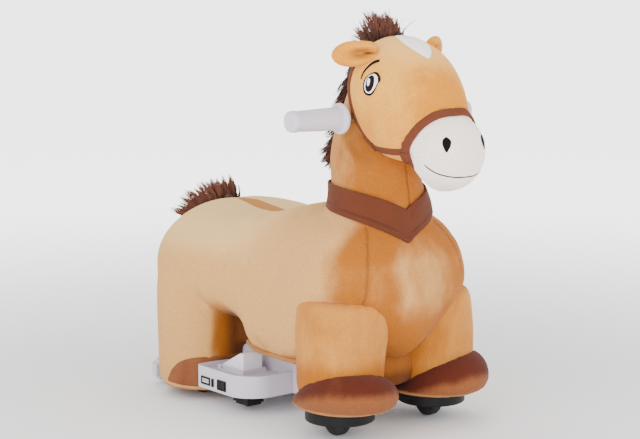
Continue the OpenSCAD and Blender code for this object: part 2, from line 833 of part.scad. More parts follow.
module gear_motor() {
    color([0.55, 0.57, 0.60])
        difference() {
            union() {
                rod(motor_x, axle_z, [plate_y[0] - motor_l, plate_y[0]], motor_d);
                rod(motor_x, axle_z, [plate_y[0] - over, plate_y[0] + plate_t], motor_nose_d);
                rod(motor_x, axle_z, [plate_y[0] - motor_l - motor_nose_l, plate_y[0] - motor_l + over],
                    motor_nose_d);
            }
            rod(motor_x, axle_z, [plate_y[0] - motor_l + wall, far], motor_shaft_d + 2 * run_gap);
        }
}

module motor_pinion() {
    color([0.75, 0.65, 0.35])
        union() {
            translate([motor_x, 0, axle_z])
                gear(pinion_teeth, fast_module, [fast_y[0] - gear_side, fast_y[1] + gear_side],
                    180 / pinion_teeth);
            rod(motor_x, axle_z, [plate_y[0] - motor_l + wall + turn_gap, fast_y[0]], motor_shaft_d);
        }
}

module idler_gear() {
    color([0.90, 0.88, 0.80])
        difference() {
            union() {
                translate([idler_x, 0, axle_z]) {
                    gear(pinion_teeth, slow_module, [fast_y[1] - over, slow_y[1] + gear_side],
                        180 / pinion_teeth);
                    gear(idler_teeth, fast_module, fast_y, 0);
                }
            }
            rod(idler_x, axle_z, [-far, far], idler_shaft_d + 2 * run_gap);
        }
}

module idler_shaft() {
    color([0.70, 0.71, 0.73])
        rod(idler_x, axle_z, [plate_y[0], plate_y[1] + plate_t], idler_shaft_d);
}

module axle_gear() {
    color([0.90, 0.88, 0.80])
        difference() {
            translate([rear_x, 0, axle_z])
                gear(axle_teeth, slow_module, slow_y, 0);
            rod(rear_x, axle_z, [-far, far], axle_d + 2 * fit_gap);
        }
}

module pedal_switch() {
    color([0.15, 0.15, 0.16])
        union() {
            translate(switch_place)
                cube(switch_box);
            post(switch_place[0] + switch_box[0] - plunger_in, switch_place[1] + switch_box[1] / 2,
                [cover_top + switch_box[2] - over, plunger_top], plunger_d);
        }
}

module switch_housing() {
    l = rocker_l - 2 * switch_inset;
    h = rocker_h - 2 * switch_inset;
    cavity = 2 * (rocker_half + rocker_room);
    color([0.14, 0.14, 0.16])
        difference() {
            union() {
                panel_block(rocker_x, rocker_l, rocker_h, [-frame_t, 0]);
                panel_block(rocker_x, l, h, [-over, switch_depth]);
            }
            panel_block(rocker_x, cavity, h - 2 * switch_inset, [-frame_t - over, switch_depth - wall]);
            post(rocker_x, panel_y + pivot_in,
                [control_z - h / 2 + pin_inset, control_z + h / 2 - pin_inset],
                rocker_pin_d + 2 * run_gap);
        }
}

module switch_rocker() {
    h = rocker_h - 4 * switch_inset - 2 * turn_gap;
    pin_h = rocker_h - 2 * switch_inset - 2 * pin_inset - 2 * run_gap;
    color([0.20, 0.20, 0.22])
        translate([rocker_x, panel_y + pivot_in, control_z])
            union() {
                translate([0, 0, -h / 2])
                    linear_extrude(h)
                        polygon([[-rocker_half, -rocker_tip], [0, -rocker_dip],
                            [rocker_half, -rocker_tip], [rocker_half - rocker_taper, rocker_back],
                            [rocker_taper - rocker_half, rocker_back]]);
                translate([0, 0, -pin_h / 2])
                    cylinder(d = rocker_pin_d, h = pin_h);
            }
}

module gauge_bezel() {
    color([0.10, 0.10, 0.12])
        difference() {
            union() {
                panel_block(gauge_x, gauge_l, gauge_h, [-frame_t, 0]);
                panel_block(gauge_x, gauge_l - 4 * switch_inset, gauge_h - 4 * switch_inset,
                    [-over, tray_wall + wall]);
            }
            panel_block(gauge_x, gauge_l - 6 * switch_inset, gauge_h - 6 * switch_inset,
                [-frame_t - over, tray_wall]);
        }
}

module gauge_window() {
    color([0.80, 0.84, 0.80])
        panel_block(gauge_x, gauge_l - 6 * switch_inset - 2 * fit_gap,
            gauge_h - 6 * switch_inset - 2 * fit_gap, [-frame_t / 2, tray_wall]);
}

module charge_socket() {
    color([0.10, 0.10, 0.12])
        difference() {
            union() {
                panel_block(socket_x, socket_l, socket_h, [-frame_t, 0]);
                panel_block(socket_x, socket_l - switch_inset, socket_h - 2 * switch_inset,
                    [-over, switch_depth]);
            }
            panel_block(socket_x, socket_l - 3 * switch_inset, socket_h - 4 * switch_inset,
                [-frame_t - over, switch_depth - wall]);
        }
}

module foot_pedal() {
    w = pedal_w / 2;
    heel = pedal_rear_x;
    toe = pedal_front_x;
    color([0.84, 0.84, 0.87])
        difference() {
            union() {
                translate([0, pedal_y + w, 0])
                    rotate([90, 0, 0])
                        linear_extrude(pedal_w)
                            polygon([[heel, pedal_bottom + pedal_round],
                                [heel + pedal_round, pedal_bottom], [toe, pedal_bottom],
                                [toe, pedal_top - pedal_edge], [toe - pedal_edge, pedal_top],
                                [toe - pedal_edge - pedal_flat, pedal_top], [heel, pedal_heel_z]]);
                box([toe - over, toe + pedal_stop],
                    [pedal_y - w + pedal_stop_in, pedal_y + w - pedal_stop_in],
                    [pedal_bottom, deck_under - 2 * turn_gap]);
            }
            rod(pedal_hinge_x, pedal_hinge_z, [-far, far], pedal_pin_d + 2 * run_gap);
        }
}

module pedal_pin() {
    half = pedal_w / 2 + pedal_gap + plinth_t;
    color([0.70, 0.71, 0.73])
        rod(pedal_hinge_x, pedal_hinge_z, [pedal_y - half, pedal_y + half], pedal_pin_d);
}

module pedal_spring() {
    r = (spring_d - spring_wire) / 2;
    low = cover_top + spring_wire / 2;
    rise = pedal_bottom - cover_top - spring_wire;
    color([0.72, 0.73, 0.75])
        translate([spring_x, pedal_y, low])
            loft([for (i = [0:spring_turns * 360 / wire_step]) let (a = i * wire_step,
                up = rise * a / (spring_turns * 360))
                [for (j = [0:wire_n - 1]) let (b = 360 * j / wire_n)
                    [(r + spring_wire / 2 * cos(b)) * cos(a), (r + spring_wire / 2 * cos(b)) * sin(a),
                     up - spring_wire / 2 * sin(b)]]]);
}

module rear_axle() {
    half = side_y + rear_wheel_w / 2 + axle_reach;
    color([0.70, 0.71, 0.73])
        union() {
            rod(rear_x, axle_z, [-half, half], axle_d);
            for (left = [false, true])
                on_side(left)
                    rod(rear_x, axle_z, [-half - cap_over, cap_t - cap_over - half], cap_d);
        }
}

module axle_bushes() {
    color([0.93, 0.92, 0.88])
        for (left = [false, true])
            on_side(left)
                difference() {
                    union() {
                        rod(rear_x, axle_z, [-inner_y, wall - inner_y + bush_in], bush_d);
                        rod(rear_x, axle_z, [-inner_y - bush_flange_t, -inner_y], bush_flange_d);
                    }
                    rod(rear_x, axle_z, [-far, far], axle_d + 2 * run_gap);
                }
}

module drive_wheel() {
    r = rear_wheel_d / 2;
    w = rear_wheel_w / 2;
    bore = axle_d / 2 + fit_gap;
    hub = wheel_hub_d / 2;
    web = wheel_web_t / 2;
    rim = r - wheel_rim_t;
    b = wheel_bevel;
    color([0.16, 0.16, 0.17])
        translate([rear_x, -side_y, axle_z])
            rotate([90, 0, 0])
                rotate_extrude()
                    polygon([[bore, -w], [hub, -w], [hub, -web], [rim, -web], [rim, -w],
                        [r - b, -w], [r, b - w], [r, w - b], [r - b, w], [rim, w],
                        [rim, web], [hub, web], [hub, w], [bore, w]]);
}

module left_rear_wheel() {
    on_side(true)
        drive_wheel();
}

module right_rear_wheel() {
    drive_wheel();
}

module caster_plate() {
    color([0.13, 0.13, 0.15])
        difference() {
            union() {
                post(front_x, -side_y, [sole_bottom, sole_top], sole_d);
                post(front_x, -side_y, [sole_bottom, hub_top], hub_d);
            }
            post(front_x, -side_y, [0, cup_top], cup_d);
            post(front_x, -side_y, [0, far], stub_d + 2 * run_gap);
        }
}

module left_caster_plate() {
    on_side(true)
        caster_plate();
}

module right_caster_plate() {
    caster_plate();
}

module turntable() {
    x = front_x - caster_trail;
    reach = slot_half + lug_w;
    color([0.16, 0.16, 0.18])
        difference() {
            union() {
                post(front_x, -side_y, [turntable_bottom, turntable_top], turntable_d);
                post(front_x, -side_y, [turntable_top - over, hub_top + turn_gap + lip_h], stub_d);
                post(front_x, -side_y, [hub_top + turn_gap, hub_top + turn_gap + lip_h],
                    stub_d + 2 * lip);
                rod(x, front_z, [-side_y - reach, reach - side_y], 2 * lug_r);
                box([x - lug_r, x + lug_r], [-side_y - reach, reach - side_y],
                    [front_z, turntable_bottom + over]);
            }
            box([x - slot_end, x + slot_end], [-side_y - slot_half, slot_half - side_y],
                [0, slot_top]);
            rod(x, front_z, [-side_y - reach - over, reach - side_y + over],
                wheel_pin_d + 2 * fit_gap);
        }
}

module left_turntable() {
    on_side(true)
        turntable();
}

module right_turntable() {
    turntable();
}

module front_wheel() {
    r = front_wheel_d / 2;
    w = front_wheel_w / 2;
    f = front_wheel_round;
    b = f * tread_share;
    bore = wheel_pin_d / 2 + run_gap;
    color([0.19, 0.19, 0.20])
        translate([front_x - caster_trail, -side_y, front_z])
            rotate([90, 0, 0])
                rotate_extrude()
                    polygon([[bore, -w], [r - f, -w], [r - b, b - w], [r, f - w],
                        [r, w - f], [r - b, w - b], [r - f, w], [bore, w]]);
}

module left_front_wheel() {
    on_side(true)
        front_wheel();
}

module right_front_wheel() {
    front_wheel();
}

module wheel_pin() {
    reach = slot_half + lug_w;
    color([0.70, 0.71, 0.73])
        rod(front_x - caster_trail, front_z, [-side_y - reach, reach - side_y], wheel_pin_d);
}

module left_wheel_pin() {
    on_side(true)
        wheel_pin();
}

module right_wheel_pin() {
    wheel_pin();
}

module seat_frame() {
    half = seat_board_w / 2;
    color([0.62, 0.63, 0.66])
        union() {
            box(seat_x, [-half, half], [tunnel_top, tunnel_top + seat_flange_t]);
            box(seat_x, [-half, half], [seat_board - seat_flange_t, seat_board]);
            for (s = [-1, 1])
                box(seat_x, [s * seat_web_y - seat_web_t / 2, s * seat_web_y + seat_web_t / 2],
                    [tunnel_top + over, seat_board - over]);
        }
}

module front_yoke() {
    color([0.60, 0.61, 0.64])
        difference() {
            union() {
                box(yoke_x, [-yoke_y, yoke_y], yoke_z);
                box([yoke_x[0], yoke_hub_x], [-nose_w / 2, nose_w / 2], [tunnel_top, yoke_z[0] + over]);
                for (s = [-1, 1])
                    post(front_x, s * side_y, [hub_top, yoke_z[0] + over], leg_post_d);
            }
            post(bar_x, 0, [0, far], post_d + 2 * fit_gap);
            for (s = [-1, 1])
                post(front_x, s * side_y, [0, yoke_z[0]], leg_post_d - 4 * wall);
        }
}

module neck_post() {
    color([0.60, 0.61, 0.64])
        difference() {
            post(bar_x, 0, [tunnel_top, post_top], post_d);
            post(bar_x, 0, [tunnel_top - over, post_top - wall], post_d - 2 * post_wall);
            rod(bar_x, bar_z, [-far, far], bar_d + 2 * fit_gap);
        }
}

module handlebar() {
    color([0.70, 0.71, 0.73])
        rod(bar_x, bar_z, [-bar_l / 2, bar_l / 2], bar_d);
}

module grip() {
    end = grip_in + grip_l;
    r0 = bar_d / 2 + fit_gap;
    rim = grip_end_d / 2 + grip_rim;
    flange = grip_flange_d / 2;
    shank = end - grip_rim_l;
    color([0.78, 0.78, 0.83])
        translate([bar_x, 0, bar_z])
            rotate([90, 0, 0])
                rotate_extrude()
                    polygon([[r0, grip_in], [flange - grip_edge, grip_in],
                        [flange, grip_in + grip_edge], [flange, grip_in + grip_flange_t],
                        [grip_d / 2, grip_in + grip_flange_t + grip_flare], [grip_end_d / 2, shank],
                        [rim, shank + grip_rim], [rim, end - grip_flare], [rim - grip_flare, end],
                        [0, end], [0, bar_l / 2], [r0, bar_l / 2]]);
}

module left_grip() {
    on_side(true)
        grip();
}

module right_grip() {
    grip();
}

module body() {
    color([0.81, 0.72, 0.58])
        difference() {
            body_form(0);
            frame_space(seam_gap);
        }
}

module neck() {
    color([0.85, 0.63, 0.37])
        difference() {
            neck_form(0);
            body_form(seam_gap);
            head_form(seam_gap);
            frame_space(seam_gap);
        }
}

module head() {
    color([0.87, 0.70, 0.48])
        difference() {
            head_form(0);
            before_nose(0);
            frame_space(seam_gap);
        }
}

module muzzle() {
    color([0.90, 0.87, 0.85])
        intersection() {
            muzzle_form(0);
            before_nose(seam_gap);
        }
}

module front_leg(left) {
    color([0.86, 0.64, 0.38])
        difference() {
            on_side(left)
                front_leg_form(0);
            body_form(seam_gap);
            on_side(left)
                hoof_form(seam_gap);
            frame_space(seam_gap);
        }
}

module left_front_leg() {
    front_leg(true);
}

module right_front_leg() {
    front_leg(false);
}

module front_hoof() {
    color([0.62, 0.36, 0.24])
        difference() {
            hoof_form(0);
            frame_space(seam_gap);
        }
}

module left_front_hoof() {
    on_side(true)
        front_hoof();
}

module right_front_hoof() {
    front_hoof();
}

module rear_leg(left) {
    r = rear_wheel_d / 2 + pocket_gap;
    color([0.81, 0.70, 0.54])
        difference() {
            on_side(left)
                rear_leg_form(0);
            body_form(seam_gap);
            frame_space(seam_gap);
            on_side(left) {
                tray_block(-seam_gap, [cover_bottom - seam_gap, tray_rim + seam_gap]);
                box([rear_x - r, rear_x + r], [-pocket_out, 0], [0, axle_z + r]);
            }
        }
}

module left_rear_leg() {
    rear_leg(true);
}

module right_rear_leg() {
    rear_leg(false);
}

module ear(left) {
    u = unit(ear_tip - ear_base);
    l = norm(ear_tip - ear_base);
    n = unit(cross(u, [0, 0, 1]));
    w = cross(n, u);
    color([0.85, 0.60, 0.30])
        difference() {
            on_side(left)
                loft([for (row = smooth(EAR, 2)) [for (j = [0:fine_n - 1]) let (a = 360 * j / fine_n)
                    ear_base + u * row[0] * l + n * row[2] * sin(a) - w * row[1] * cos(a)]]);
            head_form(seam_gap);
        }
}

module left_ear() {
    ear(true);
}

module right_ear() {
    ear(false);
}

module neck_collar() {
    half = NECK[0][3] + 2 * collar_t;
    low = collar_low + half * collar_low_rise;
    high = collar_high + half * collar_high_rise;
    split = front_x - collar_back;
    color([0.55, 0.31, 0.22])
        difference() {
            intersection() {
                neck_form(collar_t);
                union() {
                    translate([split, 0, 0])
                        rotate([90, 0, 90])
                            linear_extrude(far)
                                polygon([[0, collar_low], [half, low], [half, high],
                                    [0, collar_high], [-half, high], [-half, low]]);
                    box([split - far, split], [-half, half], collar_nape);
                }
            }
            neck_form(seam_gap);
            body_form(seam_gap);
        }
}

module noseband() {
    color([0.58, 0.33, 0.22])
        difference() {
            intersection() {
                union() {
                    head_form(strap_t);
                    muzzle_form(strap_t);
                }
                before_nose(-noseband_w / 2);
            }
            before_nose(noseband_w / 2);
            head_form(seam_gap);
            muzzle_form(seam_gap);
        }
}

module cheek_strap() {
    e = len(STRAP_LINE) - 1;
    across = [for (i = [0:e]) let (d = unit(STRAP_LINE[min(i + 1, e)] - STRAP_LINE[max(i - 1, 0)]))
        [-d[1], d[0]] * cheek_strap_w / 2];
    color([0.58, 0.33, 0.22])
        difference() {
            intersection() {
                head_form(strap_t);
                translate([front_x, 0, 0])
                    rotate([90, 0, 0])
                        linear_extrude(far)
                            polygon(concat(STRAP_LINE + across,
                                [for (i = [e:-1:0]) STRAP_LINE[i] - across[i]]));
            }
            head_form(seam_gap);
            neck_form(seam_gap);
            before_nose(-noseband_w / 2 - seam_gap);
        }
}

module left_cheek_strap() {
    on_side(true)
        cheek_strap();
}

module right_cheek_strap() {
    cheek_strap();
}

module mane() {
    color([0.28, 0.16, 0.12])
        difference() {
            crest_form(front_x, 1, MANE, 2, fine_n);
            head_form(seam_gap);
            neck_form(seam_gap);
        }
}

module tail() {
    color([0.28, 0.16, 0.12])
        difference() {
            crest_form(rear_x, stretch, TAIL, 2, fine_n);
            body_form(seam_gap);
        }
}

module base_screws() {
    color([0.60, 0.61, 0.63])
        for (x = screw_x)
            for (s = [-1, 1]) {
                post(x, s * screw_y, [cover_bottom, cover_bottom + screw_head_h], screw_head_d);
                post(x, s * screw_y, [cover_bottom + over, cover_bottom + screw_l], screw_d);
            }
}

base_shell();
bottom_cover();
rear_bumper();
left_tray();
right_tray();
skid_feet();
battery();
gear_motor();
gear_bracket();
motor_pinion();
idler_gear();
idler_shaft();
axle_gear();
pedal_switch();
switch_housing();
switch_rocker();
gauge_bezel();
gauge_window();
charge_socket();
foot_pedal();
pedal_pin();
pedal_spring();
rear_axle();
axle_bushes();
left_rear_wheel();
right_rear_wheel();
left_caster_plate();
right_caster_plate();
left_turntable();
right_turntable();
left_front_wheel();
right_front_wheel();
left_wheel_pin();
right_wheel_pin();
seat_frame();
front_yoke();
neck_post();
handlebar();
left_grip();
right_grip();
body();
neck();
head();
muzzle();
left_front_leg();
right_front_leg();
left_front_hoof();
right_front_hoof();
left_rear_leg();
right_rear_leg();
left_ear();
right_ear();
neck_collar();
noseband();
left_cheek_strap();
right_cheek_strap();
mane();
tail();
base_screws();
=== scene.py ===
"""Looks of a powered ride-on plush horse: a stuffed cover with a sewn face and hair over a moulded base."""
import json

import bmesh
import bpy
import numpy as np
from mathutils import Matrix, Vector

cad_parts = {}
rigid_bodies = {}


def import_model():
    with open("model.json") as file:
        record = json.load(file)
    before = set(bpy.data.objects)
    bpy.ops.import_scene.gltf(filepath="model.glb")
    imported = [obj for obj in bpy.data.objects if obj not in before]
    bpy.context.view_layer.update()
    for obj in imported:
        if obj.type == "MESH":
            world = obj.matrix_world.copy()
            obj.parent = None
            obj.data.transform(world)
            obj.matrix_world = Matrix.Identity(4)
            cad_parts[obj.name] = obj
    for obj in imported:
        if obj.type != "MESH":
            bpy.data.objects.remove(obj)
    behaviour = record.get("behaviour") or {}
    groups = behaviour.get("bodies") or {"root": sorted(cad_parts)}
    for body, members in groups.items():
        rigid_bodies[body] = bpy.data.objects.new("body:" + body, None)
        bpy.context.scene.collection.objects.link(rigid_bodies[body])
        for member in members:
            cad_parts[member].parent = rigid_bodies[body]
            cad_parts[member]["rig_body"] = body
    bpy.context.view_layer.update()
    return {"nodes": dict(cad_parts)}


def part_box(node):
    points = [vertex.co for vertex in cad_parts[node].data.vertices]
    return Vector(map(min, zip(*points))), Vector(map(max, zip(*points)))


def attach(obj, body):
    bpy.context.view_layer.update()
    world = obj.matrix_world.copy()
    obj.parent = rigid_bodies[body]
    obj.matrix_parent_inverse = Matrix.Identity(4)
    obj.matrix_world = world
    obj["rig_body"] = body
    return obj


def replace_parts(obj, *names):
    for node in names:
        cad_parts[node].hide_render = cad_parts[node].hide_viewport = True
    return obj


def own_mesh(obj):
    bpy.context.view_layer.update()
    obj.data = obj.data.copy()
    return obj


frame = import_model()

# Studio: a pale seamless floor under large soft diffusers, and the camera of the photograph,
# solved from the sole plates, the foot tray and the handlebar.
FOCAL_PX, FRAME_PX, SENSOR_MM = 1650, 640, 36
FLOOR_GLOW, FLOOR_HALF = 2.6, 60
LAMP_AIM = Vector((0.05, 0, 0.28))
CAMERA_PLACE = (1.8479, -1.4909, 0.6219)
CAMERA_TURN = np.radians((90 - 8.35, 0, 50.92))


def tint(red, green, blue):
    """A colour read off a picture, 0 to 255, as the linear colour a shader takes."""
    share = np.array((red, green, blue)) / 255
    linear = np.where(share > 0.04045, ((share + 0.055) / 1.055) ** 2.4, share / 12.92)
    return (*linear, 1)


class Wire:
    """A node's output in a finish. Sums with other wires and with numbers add Math nodes."""

    def __init__(self, finish, socket):
        self.finish, self.socket = finish, socket

    def maths(self, operation, *terms):
        return self.finish.node("ShaderNodeMath", {"operation": operation}, dict(enumerate(terms)))

    def __add__(self, other):
        return self.maths("ADD", self, other)

    def __sub__(self, other):
        return self.maths("SUBTRACT", self, other)

    def __rsub__(self, other):
        return self.maths("SUBTRACT", other, self)

    def __mul__(self, other):
        return self.maths("MULTIPLY", self, other)

    __radd__, __rmul__ = __add__, __mul__


class Finish:
    """A material on a Principled shader. Constants go straight onto the shader's own sockets."""

    def __init__(self, name, **constants):
        self.material = bpy.data.materials.new(name)
        self.material.use_nodes = True
        self.tree = self.material.node_tree
        self.shader = self.tree.nodes["Principled BSDF"]
        self.sockets = {s.name.lower().replace(" ", "_"): s.name for s in self.shader.inputs}
        self.paint(**constants)

    def feed(self, node, inputs):
        for name, value in inputs.items():
            if isinstance(value, Wire):
                self.tree.links.new(value.socket, node.inputs[name])
            else:
                node.inputs[name].default_value = value

    def node(self, kind, settings=None, inputs=None, output=0):
        """A node of that type: its settings first, then its sockets' values or links."""
        node = self.tree.nodes.new(kind)
        for name, value in (settings or {}).items():
            setattr(node, name, value)
        self.feed(node, inputs or {})
        return Wire(self, node.outputs[output])

    def paint(self, **links):
        """Values or links for the shader's sockets, by their names in small letters."""
        self.feed(self.shader, {self.sockets[name]: value for name, value in links.items()})
        return self

    def place(self, stretch=(1, 1, 1)):
        """Object coordinates in metres, stretched along each axis."""
        spot = self.node("ShaderNodeTexCoord", output="Object")
        return self.node("ShaderNodeMapping", inputs={"Vector": spot, "Scale": stretch})

    def noise(self, scale, detail=3, stretch=(1, 1, 1), warp=0.0):
        return self.node("ShaderNodeTexNoise", inputs={
            "Vector": self.place(stretch), "Scale": scale, "Detail": detail, "Distortion": warp})

    def mark(self, name):
        """The value that a piece carries at its points under that name."""
        return self.node("ShaderNodeAttribute", {"attribute_name": name}, output="Fac")

    def step(self, value, low, high):
        """0 below low, 1 above high, and a smooth rise between."""
        return self.node("ShaderNodeMapRange", {"interpolation_type": "SMOOTHSTEP"},
                         {"Value": value, "From Min": low, "From Max": high})

    def mix(self, share, first, second):
        return self.node("ShaderNodeMix", {"data_type": "RGBA"}, {0: share, 6: first, 7: second}, 2)

    def bump(self, height, depth):
        """Relief of that depth in metres from a height between 0 and 1."""
        return self.node("ShaderNodeBump", inputs={"Height": height, "Distance": depth})


def link(name, mesh):
    piece = bpy.data.objects.new(name, mesh)
    bpy.context.scene.collection.objects.link(piece)
    return piece


def lamp(name, place, size, power):
    """A square diffuser at a place, aimed at the horse's chest."""
    light = bpy.data.lights.new(name, "AREA")
    light.size, light.energy = size, power
    holder = link(name, light)
    holder.location = place
    holder.rotation_euler = (LAMP_AIM - Vector(place)).to_track_quat("-Z", "Y").to_euler()


world = bpy.data.worlds.new("studio")
world.use_nodes = True
world.node_tree.nodes["Background"].inputs["Color"].default_value = (1, 1, 1, 1)
world.node_tree.nodes["Background"].inputs["Strength"].default_value = 1.0
bpy.context.scene.world = world
lamp("key", (0.7, -2.5, 1.6), 2.2, 56)
lamp("fill", (2.6, 0.9, 1.5), 2.0, 40)
lamp("front", (2.4, -2.0, 0.7), 1.6, 30)
lamp("top", (-0.4, 0.3, 2.6), 2.4, 30)

# The floor is painted to glow, dark next to the horse and brighter further out: painted light that also lights the
# horse from below.
glowing_paper = Finish("floor_paper", roughness=0.9, emission_strength=FLOOR_GLOW)
reach = glowing_paper.node("ShaderNodeVectorMath", {"operation": "LENGTH"}, {0: glowing_paper.place()}, "Value")
glowing_paper.paint(base_color=glowing_paper.mix(glowing_paper.noise(3), tint(250, 250, 250), tint(254, 254, 254)),
            emission_color=glowing_paper.mix(glowing_paper.step(reach, 0.35, 2.4), (0, 0, 0, 1), (1, 1, 1, 1)))
floor_mesh = bpy.data.meshes.new("floor")
floor_mesh.from_pydata([(x * FLOOR_HALF, y * FLOOR_HALF, 0) for x, y in ((-1, -1), (1, -1), (1, 1), (-1, 1))], [],
                       [(0, 1, 2, 3)])
floor_mesh.materials.append(glowing_paper.material)
floor = link("floor", floor_mesh)

lens = bpy.data.cameras.new("camera")
lens.sensor_width = SENSOR_MM
lens.lens = SENSOR_MM * FOCAL_PX / FRAME_PX
camera = link("camera", lens)
camera.location, camera.rotation_euler = CAMERA_PLACE, CAMERA_TURN
bpy.context.scene.camera = camera

# Works inside the horse: welded steel frame, gear motor with nylon gears, battery and switch.
# They are bought or pressed parts, screwed into the base before the cover goes on.


def grained(name, scale, dark, light, rough=None, relief=0, detail=3, stretch=(1, 1, 1), **constants):
    """Two tones mixed by one noise, which may also spread the roughness and lift a relief, in metres."""
    finish = Finish(name, **constants)
    grain = finish.noise(scale, detail, stretch)
    finish.paint(base_color=finish.mix(grain, dark, light))
    if rough:
        finish.paint(roughness=rough[0] + rough[1] * grain)
    return finish.paint(normal=finish.bump(grain, relief)) if relief else finish


steel = grained("bright_steel", 900, tint(150, 152, 156), tint(196, 198, 202), (0.22, 0.2), 0.00005,
                stretch=(1, 0.05, 1), metallic=1.0)
painted = grained("grey_paint", 420, tint(146, 149, 153), tint(164, 167, 171), (0.4, 0.2), 0.0001)
nylon = grained("milky_nylon", 160, tint(224, 219, 203), tint(240, 236, 224), (0.35, 0.15))
sleeve = grained("dark_case", 700, tint(40, 42, 46), tint(62, 64, 68), (0.45, 0.2), 0.0001)


def coat(finish, *nodes):
    """Gives CAD pieces a finish in place of the flat colour that they came with."""
    for node in nodes:
        mesh = frame["nodes"][node].data
        mesh.materials.clear()
        mesh.materials.append(finish.material)


coat(steel, "idler_shaft", "rear_axle", "pedal_pin", "handlebar", "base_screws",
     "left_wheel_pin", "right_wheel_pin")
coat(painted, "gear_bracket", "gear_motor", "seat_frame", "front_yoke", "neck_post")
coat(nylon, "axle_gear", "idler_gear", "motor_pinion", "axle_bushes")
coat(sleeve, "battery", "pedal_switch")

# Moulded base: tunnel, bottom cover, bumper, two foot trays and the foot pedal, injection moulded
# in satin off-white plastic. Every outside edge has a small round, as a mould leaves it.
MM = 0.001


def moulding(name, dull, clear):
    """Satin moulded plastic: a faint haze between two whites and fine scuffs in the gloss."""
    finish = Finish(name, roughness=0.38)
    haze, scuff = finish.noise(14, warp=0.5), finish.noise(260, stretch=(1, 0.3, 1))
    finish.paint(base_color=finish.mix(haze, dull, clear), normal=finish.bump(finish.noise(1500), 0.00004),
                 roughness=0.3 + 0.12 * haze + 0.12 * finish.step(scuff, 0.55, 0.7))
    return finish


white = moulding("white_moulding", tint(198, 193, 204), tint(208, 203, 213))
# The pedal gets a brighter copy of the same white: painted light that offsets the shade of the belly over it.
pedal_lit_white = moulding("pedal_moulding", tint(232, 227, 236), tint(240, 236, 244))


def bake(piece):
    """Puts what the modifiers make into the piece's own mesh."""
    graph = bpy.context.evaluated_depsgraph_get()
    piece.data, old = bpy.data.meshes.new_from_object(piece.evaluated_get(graph)), piece.data
    piece.modifiers.clear()
    bpy.data.meshes.remove(old)
    return piece


def soften(mesh):
    """Shades every face of a mesh smooth."""
    mesh.polygons.foreach_set("use_smooth", np.ones(len(mesh.polygons), bool))


def eased(node, width, finish):
    """A copy of a CAD piece whose sharp edges are rounded to that width in millimetres."""
    shape = bmesh.new()
    shape.from_mesh(frame["nodes"][node].data)
    bmesh.ops.remove_doubles(shape, verts=shape.verts, dist=1e-6)
    bmesh.ops.dissolve_limit(shape, angle_limit=np.radians(0.5), verts=shape.verts, edges=shape.edges)
    mesh = bpy.data.meshes.new(node + "_moulded")
    shape.to_mesh(mesh)
    shape.free()
    soften(mesh)
    piece = link(node + "_moulded", mesh)
    edge = piece.modifiers.new("easing", "BEVEL")
    edge.width, edge.segments, edge.angle_limit = width * MM, 3, np.radians(40)
    piece.modifiers.new("shading", "WEIGHTED_NORMAL").weight = 100
    bake(piece)
    piece.data.materials.clear()
    piece.data.materials.append(finish.material)
    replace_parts(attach(piece, frame["nodes"][node]["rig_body"]), node)
    return piece


for node, width in {"base_shell": 2, "bottom_cover": 0.8, "rear_bumper": 4, "left_tray": 1.1,
                    "right_tray": 1.1}.items():
    eased(node, width, white)
eased("foot_pedal", 2.2, pedal_lit_white)

# Pedal spring: a steel coil between the bottom cover and the pedal, which on the toy shortens as the pedal goes down,
# by the pedal's drop over it. Here it only gets a mesh of its own.
coil = eased("pedal_spring", 0.2, steel)
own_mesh(coil)

# Control panel on the right tray: snap-in rocker switch, battery gauge and charging socket,
# all black plastic with a pale gauge window that has four plain level bars.
black = Finish("black_plastic", roughness=0.5, specular_ior_level=0.25)
speck = black.noise(1100)
black.paint(base_color=black.mix(black.noise(40), tint(8, 7, 8), tint(15, 14, 16)),
            roughness=0.4 + 0.2 * speck, normal=black.bump(speck, 0.00006))
for node, width in {"switch_housing": 0.5, "switch_rocker": 0.6, "gauge_bezel": 0.6,
                    "charge_socket": 0.5}.items():
    eased(node, width, black)
gauge = Finish("gauge_window", roughness=0.15)
low, high = (np.array(c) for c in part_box("gauge_window"))
BARS = 9
run, tall = (gauge.node("ShaderNodeSeparateXYZ", inputs={0: gauge.place()}, output=axis) for axis in (0, 2))
bars = gauge.node("ShaderNodeMath", {"operation": "PINGPONG"},
                  {0: (run - low[0]) * (BARS / (high[0] - low[0])), 1: 1})
window_z, window_h = (low[2] + high[2]) / 2, high[2] - low[2]
inside = 1 - gauge.step(gauge.node("ShaderNodeMath", {"operation": "ABSOLUTE"}, {0: tall - window_z}),
                        0.26 * window_h, 0.3 * window_h)
gauge.paint(base_color=gauge.mix(inside * gauge.step(bars, 0.45, 0.55), tint(212, 214, 206), tint(96, 104, 92)))
coat(gauge, "gauge_window")

# Wheels, casters and skids: black glass-filled plastic carriers with grey-black rubber tyres.
# Each front wheel trails on a turntable in the sole plate; the skids are pressed on under the trays.
rubber = Finish("tyre_rubber", roughness=0.75)
dust = rubber.noise(90, warp=0.4)
rubber.paint(base_color=rubber.mix(rubber.step(dust, 0.4, 0.75), tint(22, 22, 23), tint(46, 45, 43)),
             roughness=0.65 + 0.2 * dust, normal=rubber.bump(rubber.noise(900), 0.00012))
for side in ("left", "right"):
    eased(f"{side}_caster_plate", 1.4, black)
    eased(f"{side}_turntable", 0.6, black)
    eased(f"{side}_front_wheel", 0.8, rubber)
    eased(f"{side}_rear_wheel", 0.8, rubber)
eased("skid_feet", 1.2, black)

# Hand grips: thick sleeves of pale grey soft plastic pushed onto the steel bar, with a round
# flange next to the neck and a slightly raised end ring.
BAR_X, BAR_Z, GRIP_IN, GRIP_OUT = 146, 434, 72, 161
SIDES = (("left", 1), ("right", -1))


